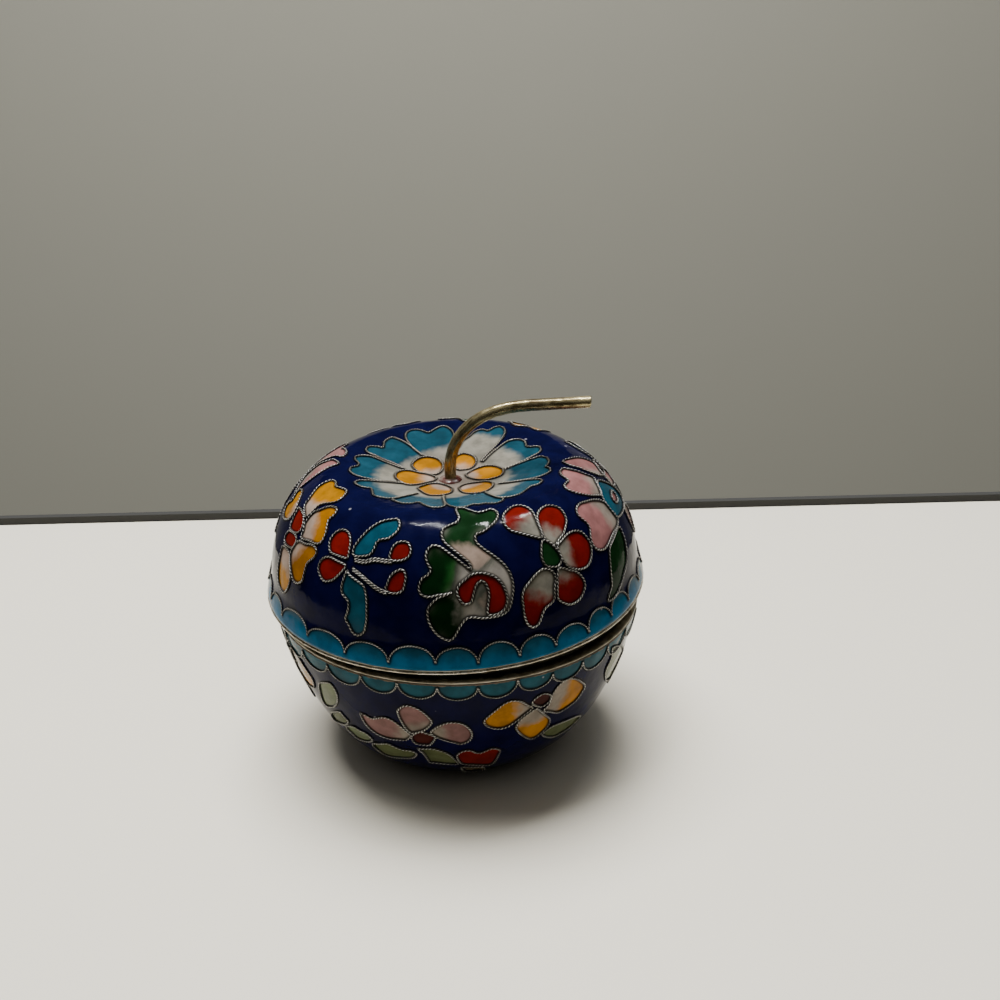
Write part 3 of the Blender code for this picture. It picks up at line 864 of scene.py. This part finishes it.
def paint(skin, azimuth, reach, cells):
    """Colours by the hub and at the tip, and the distance past their meeting line, of places."""
    near = np.tile(GLAZES["blue"], (len(azimuth), 1))
    far = near.copy()
    blend = np.zeros(len(azimuth))
    cell_mark = np.zeros(len(azimuth), int)
    for count, cell in enumerate(cells):
        for turn in (-2 * np.pi, 0.0, 2 * np.pi):
            x, y = cell.azimuth + turn, cell.reach
            chosen = np.flatnonzero((azimuth >= x.min()) & (azimuth <= x.max())
                                    & (reach >= y.min()) & (reach <= y.max()))
            if len(chosen) == 0:
                continue
            hit = chosen[within(x, y, azimuth[chosen], reach[chosen])]
            hub = (cell.hub[0] + turn, cell.hub[1])
            near[hit] = GLAZES[cell.near]
            far[hit] = GLAZES[cell.far]
            blend[hit] = past_meeting(skin, hub, cell.share, (x, y), (azimuth[hit], reach[hit]))
            if cell.wired:
                cell_mark[hit] = count + 1
    return near, far, blend, cell_mark


def softened(values, cell_mark, rows, rounds=7):
    """Values on the grid, evened out among neighbours that no wire parts."""
    mark = cell_mark.reshape(rows, HALF_COLUMNS)
    grid = values.reshape(rows, HALF_COLUMNS, -1)
    for _ in range(rounds):
        total = np.zeros_like(grid)
        for axis, step in ((0, 1), (0, -1), (1, 1), (1, -1)):
            same = np.roll(mark, step, axis) == mark
            if axis == 0:
                same[0 if step > 0 else -1] = False
            total += np.where(same[..., None], np.roll(grid, step, axis), grid)
        grid = total / 4
    return grid.reshape(values.shape)


def relief(points, shore, cell_mark):
    """How far the enamel stands out: slow waves, and a rise where it wets the wires."""
    waves = np.array([noise.noise(Vector(p) * 0.16) + 0.35 * noise.noise(Vector(p) * 0.6) for p in points])
    return 0.05 * waves + 0.07 * np.exp(-shore / 0.35) - 0.03 * (cell_mark > 0) * np.exp(-(shore / 1.2) ** 2)


def ring_grid(reaches, columns):
    """Reach and azimuth of every place on a grid round a half, row after row."""
    azimuths = np.linspace(-np.pi, np.pi, columns, endpoint=False)
    return (a.ravel() for a in np.meshgrid(reaches, azimuths, indexing="ij"))


def distances(points, lines):
    """How far each point is from the nearest wire, up to a limit."""
    tree = kdtree.KDTree(sum(len(line) for line in lines))
    for i, spot in enumerate(np.concatenate(lines)):
        tree.insert(spot, i)
    tree.balance()
    return np.array([min(tree.find(p)[2], SHORE_LIMIT) for p in points])


def inner_points(skin, start, columns):
    """The plain inside, level with the outside at the mouth."""
    reaches = np.linspace(0.0, 1.0, INNER_ROWS) ** 0.9 * (skin.reach[-1] - 2.0 - start) + start
    reach, azimuth = ring_grid(reaches, columns)
    points = skin.point(azimuth, reach, -WALL)
    points[:columns, 2] = skin.point(azimuth[:1], reach[:1])[0, 2]
    return points


def enamel_half(name, skin, start, cells, lines, material):
    """One half as a closed shell, its outside fine enough to carry the pattern."""
    last = skin.reach[-1]
    rows = int((last - 0.6 - start) / ROW_STEP)
    reach, azimuth = ring_grid(np.linspace(start, last - 0.6, rows), HALF_COLUMNS)
    shore = distances(skin.point(azimuth, reach), lines)
    near, far, blend, cell_mark = paint(skin, azimuth, reach, cells)
    near, far, blend = (softened(v, cell_mark, rows) for v in (near, far, blend))
    outer = skin.point(azimuth, reach, relief(skin.point(azimuth, reach), shore, cell_mark))
    outer[:, 2] = np.maximum(outer[:, 2], 0.0)
    inner_columns = HALF_COLUMNS // 4
    inner = inner_points(skin, start, inner_columns)
    outer_tip = skin.point(np.zeros(1), np.array([last]))
    inner_tip = skin.point(np.zeros(1), np.array([last]), -WALL)

    flip = skin.upward < 0
    outer_count = len(outer)
    inner_first = outer_count + 1
    inner_end = inner_first + len(inner)
    faces = [
        grid_faces(rows, HALF_COLUMNS, flip),
        fan_faces(outer_count - HALF_COLUMNS, HALF_COLUMNS, outer_count, flip),
        grid_faces(INNER_ROWS, inner_columns, not flip, inner_first),
        fan_faces(inner_end - inner_columns, inner_columns, inner_end, not flip),
        bridge_faces(0, HALF_COLUMNS, inner_first, inner_columns, flip),
    ]
    extra = len(inner) + 2
    blue = np.tile(GLAZES["blue"], (extra, 1))
    values = {
        "near": np.vstack([near, blue]),
        "far": np.vstack([far, blue]),
        "blend": np.concatenate([blend, np.zeros(extra)]),
        "shore": np.concatenate([shore, np.full(extra, SHORE_LIMIT)]),
        "foot": np.concatenate([reach, np.full(extra, 9.0)]),
    }
    points = np.vstack([outer, outer_tip, inner, inner_tip])
    return make_piece(name, seated(skin, points), faces, material, values)


def turned_piece(name, profile, columns, material, skin, wobble):
    """A closed profile, as radius and height, turned round the half's axis and made slightly uneven."""
    profile = np.array(profile)
    angle = np.linspace(0, 2 * np.pi, columns, endpoint=False)
    radius = profile[:, 0][:, None] * np.ones(columns)
    height = profile[:, 1][:, None] * np.ones(columns)
    points = np.stack([radius * np.sin(angle), -radius * np.cos(angle), height], -1).reshape(-1, 3)
    shift = np.array([noise.noise(Vector(p) * 0.9) + 0.5 * noise.noise(Vector(p) * 3.1) for p in points])
    points *= 1 + wobble * shift[:, None] / BOWL_RADIUS * [1, 1, 0]
    faces = grid_faces(len(profile) + 1, columns, False)
    faces %= len(profile) * columns
    return make_piece(name, seated(skin, points), [faces], material)


def stem_piece(material):
    """The bent stem, with a cut end that isn't quite square."""
    count, sides = 150, 28
    step = STEM_LENGTH / count
    foot = np.array([0.0, 0.0, DISH_FLOOR + 0.1])
    place = foot
    points, along, around = [], [], []
    for i in range(count + 1):
        share = max(i * step - STEM_BEND_START, 0.0) / (STEM_BEND_END - STEM_BEND_START)
        bend = smooth(share ** STEM_BEND_EASE)
        heading = math.radians(STEM_LEAN_END * float(bend))
        ahead = np.array([math.sin(heading), 0.0, math.cos(heading)])
        side = np.array([math.cos(heading), 0.0, -math.sin(heading)])
        for j in range(sides):
            angle = 2 * math.pi * j / sides
            radius = 0.5 * STEM_DIAMETER * (1 + 0.015 * math.sin(3.1 * i * step) * math.sin(angle + 1))
            spot = place + radius * (math.cos(angle) * side + math.sin(angle) * np.array([0.0, 1.0, 0.0]))
            if i == count:
                spot = spot - ahead * 0.25 * (1 - math.cos(angle + 2.4))
            points.append(spot)
            along.append(i * step)
            around.append(j / sides)
        if i < count:
            place = place + ahead * step
    rings = count + 1
    points += [foot, np.mean(points[-sides:], 0)]
    along += [0.0, STEM_LENGTH]
    around += [0.0, 0.0]
    faces = [grid_faces(rings, sides, True), fan_faces(0, sides, rings * sides, False),
             fan_faces((rings - 1) * sides, sides, rings * sides + 1, True)]
    values = {"along": along, "around": around}
    return make_piece("bent_stem", seated(LID, np.array(points)), faces, material, values)


# Materials


class Shader:
    """A material's node tree, with short ways to add and join nodes."""

    def __init__(self, name):
        self.material = bpy.data.materials.new(name)
        self.material.use_nodes = True
        self.nodes = self.material.node_tree.nodes
        self.links = self.material.node_tree.links
        self.surface = self.nodes["Principled BSDF"]

    def add(self, kind, inputs=None, **settings):
        node = self.nodes.new("ShaderNode" + kind)
        for key, value in settings.items():
            setattr(node, key, value)
        for key, value in (inputs or {}).items():
            if hasattr(value, "is_output"):
                self.links.new(value, node.inputs[key])
            else:
                node.inputs[key].default_value = value
        return node

    def attribute(self, name):
        return self.add("Attribute", attribute_name=name)

    def place(self):
        return self.add("TexCoord").outputs["Object"]

    def grain(self, scale, detail=3.0, roughness=0.5, place=None):
        node = self.add("TexNoise", {"Vector": place or self.place(), "Scale": scale, "Detail": detail,
                                     "Roughness": roughness})
        return node.outputs["Fac"]

    def sum(self, a, b, operation="ADD"):
        return self.add("Math", {0: a, 1: b}, operation=operation).outputs[0]

    def times(self, a, b):
        return self.sum(a, b, "MULTIPLY")

    def ramp(self, value, low, high, start=0.0, end=1.0):
        inputs = {"Value": value, "From Min": low, "From Max": high, "To Min": start, "To Max": end}
        return self.add("MapRange", inputs, interpolation_type="SMOOTHSTEP").outputs["Result"]

    def mix(self, factor, a, b, blend_type="MIX"):
        node = self.add("Mix", data_type="RGBA", blend_type=blend_type)
        for socket, value in ((0, factor), (6, a), (7, b)):
            if hasattr(value, "is_output"):
                self.links.new(value, node.inputs[socket])
            else:
                node.inputs[socket].default_value = value
        return node.outputs[2]

    def bump(self, height, strength, distance):
        inputs = {"Height": height, "Strength": strength, "Distance": distance}
        self.links.new(self.add("Bump", inputs).outputs["Normal"], self.surface.inputs["Normal"])

    def set(self, **values):
        for key, value in values.items():
            socket = self.surface.inputs[key.replace("_", " ")]
            if hasattr(value, "is_output"):
                self.links.new(value, socket)
            else:
                socket.default_value = value


def enamel_material():
    """Fired glass: cell colours that run into each other, faint clouds, pinholes, a soft shine, and painted
    shade in a narrow band along the wires.
    """
    s = Shader("enamel")
    blend = s.attribute("blend").outputs["Fac"]
    shore = s.attribute("shore").outputs["Fac"]
    foot = s.attribute("foot").outputs["Fac"]
    fine = s.times(s.sum(s.grain(650.0, 4.0), -0.5), 2.2)
    ragged = s.sum(fine, s.times(s.sum(s.grain(170.0, 2.0), -0.5), 3.4))
    share = s.ramp(s.sum(blend, ragged), -1.1, 1.1)
    colour = s.mix(share, s.attribute("near").outputs["Color"], s.attribute("far").outputs["Color"])
    clouds = s.ramp(s.grain(260.0, 5.0, 0.6), 0.3, 0.7, 0.74, 1.26)
    shade = s.add("CombineColor", {0: clouds, 1: clouds, 2: clouds}).outputs[0]
    colour = s.mix(1.0, colour, shade, "MULTIPLY")
    # Painted shade: the enamel is darkened towards black in a narrow band along each wire.
    painted_wire_shade_fade = s.ramp(shore, 0.2, 0.6)
    colour = s.mix(painted_wire_shade_fade, s.mix(0.8, colour, (0.002, 0.002, 0.002, 1.0)), colour)
    chips = s.grain(1500.0, 3.0)
    edge = s.ramp(s.sum(foot, s.times(chips, 0.6), "SUBTRACT"), 0.1, 0.25, 1.0, 0.0)
    colour = s.mix(edge, colour, (0.2, 0.15, 0.11, 1.0))
    cells = s.add("TexVoronoi", {"Vector": s.place(), "Scale": 300.0, "Randomness": 1.0})
    dot = s.ramp(cells.outputs["Distance"], 0.05, 0.09, 1.0, 0.0)
    rare = s.ramp(s.add("SeparateColor", {0: cells.outputs["Color"]}).outputs[0], 0.78, 0.8)
    pin = s.times(dot, rare)
    colour = s.mix(s.times(pin, 0.6), colour, (0.3, 0.3, 0.33, 1.0))
    shine = s.ramp(s.grain(260.0, 4.0), 0.3, 0.8, 0.06, 0.18)
    s.set(Base_Color=colour, Roughness=shine, IOR=1.53, Specular_IOR_Level=0.03)
    height = s.sum(s.grain(430.0, 3.0), s.times(pin, -0.5))
    s.bump(height, 0.3, 0.00018)
    return s.material


def wire_material(name, polished, dull):
    """Silvery gilt wire, with painted highlights on its strands and painted shade between and under them."""
    s = Shader(name)
    # Painted light: the wire's own tarnished colour shows on lit bead crests, near-black painted shade
    # elsewhere.
    bead_light_and_shade = s.ramp(s.attribute("bead_light_and_shade").outputs["Fac"], 0.68, 0.95)
    tarnish = s.ramp(s.grain(260.0, 4.0), 0.35, 0.7)
    bright = s.mix(tarnish, (*polished, 1.0), (*dull, 1.0))
    s.set(Base_Color=s.mix(bead_light_and_shade, (0.012, 0.01, 0.008, 1.0), bright), Metallic=0.35,
          Roughness=s.ramp(s.grain(1500.0), 0.3, 0.7, 0.26, 0.42))
    return s.material


def brass_material(name, bright, dull, spread, shine, metal=1.0):
    """Worn brass: bright where it is rubbed, with darker tarnish in clouds and fine scratches."""
    s = Shader(name)
    cloud = s.ramp(s.grain(330.0, 6.0, 0.65), *spread)
    colour = s.mix(cloud, (*bright, 1.0), (*dull, 1.0))
    s.set(Base_Color=colour, Metallic=metal, Roughness=s.ramp(s.grain(900.0, 3.0), 0.3, 0.7, *shine))
    s.bump(s.grain(2600.0, 3.0), 0.25, 0.00005)
    return s.material


def stem_material():
    """Old brass wire: drawn streaks along it and brown tarnish in patches."""
    s = Shader("stem_brass")
    along = s.attribute("along").outputs["Fac"]
    around = s.attribute("around").outputs["Fac"]
    stretched = s.add("CombineXYZ", {0: s.times(along, 0.5), 1: s.times(around, 22.0)})
    streak = s.grain(1.0, 5.0, 0.6, stretched.outputs[0])
    patch = s.grain(160.0, 4.0, 0.6)
    dark = s.ramp(s.sum(streak, patch), 0.85, 1.2)
    colour = s.mix(dark, (0.52, 0.44, 0.23, 1.0), (0.1, 0.072, 0.03, 1.0))
    s.set(Base_Color=colour, Metallic=0.8, Roughness=s.ramp(streak, 0.3, 0.7, 0.16, 0.36))
    s.bump(streak, 0.3, 0.0001)
    return s.material


def blob_material():
    s = Shader("foot_enamel")
    red = s.ramp(s.grain(700.0, 4.0), 0.4, 0.6)
    s.set(Base_Color=s.mix(red, (0.07, 0.012, 0.008, 1.0), (0.17, 0.12, 0.1, 1.0)),
          Roughness=s.ramp(s.grain(500.0), 0.3, 0.7, 0.12, 0.3))
    s.bump(s.grain(900.0, 2.0), 0.4, 0.0001)
    return s.material


def flat_material(name, colour, roughness, glow=0.0):
    s = Shader(name)
    cloud = s.grain(30.0, 4.0)
    light = [1.03 * part for part in colour]
    s.set(Base_Color=s.mix(cloud, (*colour, 1.0), (*light, 1.0)), Roughness=roughness)
    s.set(Emission_Color=(*colour, 1.0), Emission_Strength=glow)
    return s.material


# Assembly


def wire_piece(name, skin, paths, bead, material, nodes):
    points, faces, bead_light_and_shade = twisted(paths, bead)
    piece = make_piece(name, seated(skin, points), faces, material, {"bead_light_and_shade": bead_light_and_shade})
    declare(piece, "gilt_wire", *nodes)


WIRE_NODES = {
    "lid_green_leaf": ("lid_green_leaf_wire", "lid_green_leaf_tip_wire", "lid_red_bud_wire"),
    "bowl_leaf_row": ("bowl_first_leaf_wire",),
    "bowl_pale_leaf": ("bowl_second_leaf_wire",),
}


def laid(skin, azimuth, reach, closed):
    return skin.point(azimuth, reach, WIRE_LIFT), skin.normal(azimuth, reach), closed


def sprig_stems(skin, seen_hub, hub):
    """Pairs of wires from the sprig's hub to its buds."""
    paths = []
    for stem in SPRIG_STEMS:
        for shift in (-SPRIG_WIRE_SHIFT, SPRIG_WIRE_SHIFT):
            azimuth, reach = skin.seen_at(rounded(pairs(stem), closed=False) + [0, shift])
            azimuth, reach = unflat(skin, hub, *flat(skin, seen_hub, azimuth, reach))
            paths.append(laid(skin, azimuth, reach, False))
    return paths


def dress_half(name, skin, start, motifs, extra_cells, extra_paths, enamel, wire, node):
    """The wires of one half, and the enamel that is painted and shaped by where they run."""
    cells = list(extra_cells)
    lines = [path[0] for paths in extra_paths.values() for path in paths[0]]
    for motif, motif_cells in motifs.items():
        cells += motif_cells
        paths = [laid(skin, cell.azimuth, cell.reach, True) for cell in motif_cells if cell.wired]
        if motif.endswith("sprig"):
            paths += sprig_stems(skin, motifs["lid_sprig"][0].hub, motif_cells[0].hub)
        lines += [path[0] for path in paths]
        nodes = WIRE_NODES.get(motif, (motif + "_wire",))
        wire_piece(motif + "_twist", skin, paths, MOTIF_BEAD, wire, nodes)
    for piece, (paths, bead, material, nodes) in extra_paths.items():
        wire_piece(piece, skin, paths, bead, material, nodes)
    dense = []
    for line in lines:
        gone = distance_along(line)
        dense.append(places_at(np.arange(0.0, gone[-1], 0.2), gone, line))
    half = enamel_half(name, skin, start, cells, dense, enamel)
    declare(half, "blue_enamel", node)


def dress_lid(enamel, wire, worn_wire):
    arches, borders = scallops(LID_VALLEYS, valley=2.0, crest=4.4, far="teal", near="lake")
    lines, cells = dish_cells()
    border = [laid(LID, *arch, False) for arch in arches]
    petals = [laid(LID, *line) for line in lines[:len(DISH_PETALS)]]
    ovals = [laid(LID, *line) for line in lines[len(DISH_PETALS):]]
    extra = {
        "lid_scallop_twist": (border, BORDER_BEAD, wire, ("lid_scallop_wire",)),
        "top_flower_twist": (petals, DISH_BEAD, worn_wire, ("top_flower_wire",)),
        "top_rosette_twist": (ovals, DISH_BEAD, worn_wire, ("top_rosette_wire",)),
    }
    dress_half("enamelled_lid", LID, LID_MESH_START, lid_motifs(), borders + cells, extra,
               enamel, wire, "lid_body")


def dress_bowl(enamel, wire):
    arches, borders = scallops(BOWL_VALLEYS, valley=0.55, crest=3.3, far="dull_teal", near="dull_teal")
    border = [laid(BOWL, *arch, False) for arch in arches]
    extra = {"bowl_scallop_twist": (border, BORDER_BEAD, wire, ("bowl_scallop_wire",))}
    dress_half("enamelled_bowl", BOWL, BOWL_MESH_START, bowl_motifs(), borders, extra,
               enamel, wire, "bowl_body")


def round_bar(outer, width, low, high):
    """A flat ring's profile with a half-round outer edge."""
    middle, half = 0.5 * (low + high), 0.5 * (high - low)
    edge = [(outer - half + half * math.cos(a), middle + half * math.sin(a))
            for a in np.linspace(-0.5 * math.pi, 0.5 * math.pi, 7)]
    return [(outer - width, low)] + edge + [(outer - width, high)]


def dress_rims():
    """The brass edges of lid and bowl, and the collar that stands inside the lid."""
    polished = brass_material("rim_brass", (0.66, 0.62, 0.52), (0.26, 0.22, 0.15), (0.35, 0.65), (0.22, 0.4))
    worn = brass_material("worn_brass", (0.4, 0.37, 0.3), (0.16, 0.14, 0.1), (0.3, 0.65), (0.3, 0.45))
    tarnished = brass_material("collar_brass", (0.2, 0.185, 0.135), (0.13, 0.115, 0.08), (0.3, 0.7),
                               (0.5, 0.62), metal=0.5)
    lower = round_bar(LID_RADIUS, LID_RIM_WIDTH, 0.0, 0.36)
    lid_rim = turned_piece("lid_rim_ring", lower, 480, polished, LID, 0.05)
    declare(lid_rim, "brass", "lid_rim")
    upper = round_bar(LID_RADIUS - 0.12, LID_RIM_WIDTH - 0.2, 0.5, 0.74)
    lid_bead = turned_piece("lid_rim_bead", upper, 480, worn, LID, 0.06)
    declare(lid_bead, "brass")
    band = round_bar(LID_RADIUS - 0.25, LID_RIM_WIDTH - 0.4, 0.36, 0.52)
    lid_band = turned_piece("lid_rim_solder", band, 240, tarnished, LID, 0.1)
    declare(lid_band, "brass")
    low = BOWL_HEIGHT - 0.5 * RIM_THICKNESS
    high = low + RIM_THICKNESS
    ring = round_bar(BOWL_RADIUS, RIM_WIDTH, low, high)
    bowl_rim = turned_piece("bowl_rim_ring", ring, 480, worn, BOWL, 0.05)
    declare(bowl_rim, "brass", "bowl_rim")
    top = high + COLLAR_HEIGHT
    inside = COLLAR_RADIUS - COLLAR_WALL
    collar = [(inside, high), (COLLAR_RADIUS, high), (COLLAR_RADIUS, top - 0.1),
              (COLLAR_RADIUS - 0.15, top + 0.1), (COLLAR_RADIUS - 0.5, top + 0.1), (inside, top - 0.1)]
    flange = turned_piece("collar_flange", collar, 240, tarnished, BOWL, 0.04)
    declare(flange, "brass", "inner_collar")


def dress_stem():
    """The stem and the uneven ring of red enamel round its foot."""
    stem = stem_piece(stem_material())
    declare(stem, "brass", "stem")
    blob = [(0.6, -0.1), (2.1, -0.1), (1.9, 0.2), (1.4, 0.45), (0.6, 0.6)]
    blob = [(radius, DISH_FLOOR + height) for radius, height in blob]
    foot = turned_piece("stem_foot", blob, 60, blob_material(), LID, 2.5)
    declare(foot, "red_enamel")


# Stage, light and camera


def slab(name, low, high, material):
    """A box between two corners."""
    points = [[(low, high)[(i >> k) & 1][k] for k in range(3)] for i in range(8)]
    faces = [[0, 2, 3, 1], [4, 5, 7, 6], [0, 1, 5, 4], [2, 6, 7, 3], [0, 4, 6, 2], [1, 3, 7, 5]]
    return make_piece(name, np.array(points, float), [np.array(faces)], material)


def make_stage():
    """A pale table with a dark strip of painted shadow along its far edge, and a grey wall behind."""
    table = flat_material("table_paint", (0.84, 0.79, 0.66), 0.5)
    # Painted shadow: a near-black strip stands for the shade where the table's far edge meets the wall.
    painted_shadow_material = flat_material("painted_shadow_paint", (0.03, 0.03, 0.028), 0.8)
    wall = flat_material("wall_paint", (0.33, 0.32, 0.262), 0.8, glow=0.22)
    for name, low, high, material in (
            ("table_top", (-175, -125, -8), (185, 93, 0), table),
            ("backdrop", (-900, 500, -700), (900, 506, 210), wall),
            ("painted_shadow_strip", (-175, 93.2, -8), (185, 95, 1.8), painted_shadow_material)):
        piece = slab(name, low, high, material)
        for polygon in piece.data.polygons:
            polygon.use_smooth = False


def add_light(name, place, target, size, watts):
    light = bpy.data.lights.new(name, "AREA")
    light.shape = "RECTANGLE"
    light.size, light.size_y = (s * MM for s in size)
    light.energy = watts
    lamp = bpy.data.objects.new(name, light)
    lamp.location = Vector(place) * MM
    aim = (Vector(target) - Vector(place)) * MM
    lamp.rotation_euler = aim.to_track_quat("-Z", "Y").to_euler()
    bpy.context.scene.collection.objects.link(lamp)
    return lamp


def make_room():
    """Dim light from all round that is brightest overhead."""
    world = bpy.data.worlds.new("room")
    world.use_nodes = True
    nodes, links = world.node_tree.nodes, world.node_tree.links
    place = nodes.new("ShaderNodeTexCoord")
    toward = nodes.new("ShaderNodeVectorMath")
    toward.operation = "DOT_PRODUCT"
    toward.inputs[1].default_value = Vector((0.0, 0.1, 1.0)).normalized()
    strength = nodes.new("ShaderNodeMapRange")
    strength.interpolation_type = "SMOOTHSTEP"
    for socket, value in (("From Min", 0.3), ("From Max", 0.98), ("To Min", 0.02), ("To Max", 0.28)):
        strength.inputs[socket].default_value = value
    background = nodes["Background"]
    background.inputs["Color"].default_value = (1.0, 0.985, 0.95, 1.0)
    links.new(place.outputs["Generated"], toward.inputs[0])
    links.new(toward.outputs["Value"], strength.inputs["Value"])
    links.new(strength.outputs["Result"], background.inputs["Strength"])
    bpy.context.scene.world = world


def make_lights():
    """A wide ceiling lamp that the glaze doesn't mirror, and four small tubes that only glint in it."""
    ceiling = add_light("ceiling_light", (-56, 108, 610), (0, 0, 20), (440, 330), 9.2)
    ceiling.visible_glossy = False
    for name, place, size, watts in (("tube_left", (-90, 118, 525), (64, 9), 1.7),
                                     ("tube_near", (-52, 84, 535), (44, 7), 1.1),
                                     ("tube_middle", (84, 62, 540), (46, 9), 1.2),
                                     ("tube_right", (192, 106, 500), (40, 9), 1.1)):
        tube = add_light(name, place, (-15, -15, 50), size, watts)
        tube.visible_diffuse = False


def make_camera():
    right, up, ahead = camera_axes()
    data = bpy.data.cameras.new("camera")
    data.sensor_width = SENSOR
    data.lens = SENSOR * FOCAL_PIXELS / FRAME_PIXELS
    data.clip_start, data.clip_end = 0.01, 10.0
    camera = bpy.data.objects.new("camera", data)
    axes = Matrix((right, up, -ahead)).transposed().to_4x4()
    camera.matrix_world = Matrix.Translation(CAMERA_PLACE * MM) @ axes
    bpy.context.scene.collection.objects.link(camera)
    bpy.context.scene.camera = camera


make_camera()
enamel = enamel_material()
wire = wire_material("twisted_wire", (0.92, 0.9, 0.84), (0.42, 0.39, 0.32))
worn_wire = wire_material("worn_wire", (0.7, 0.64, 0.52), (0.26, 0.22, 0.15))
dress_lid(enamel, wire, worn_wire)
dress_bowl(enamel, wire)
dress_rims()
dress_stem()
make_stage()
make_room()
make_lights()
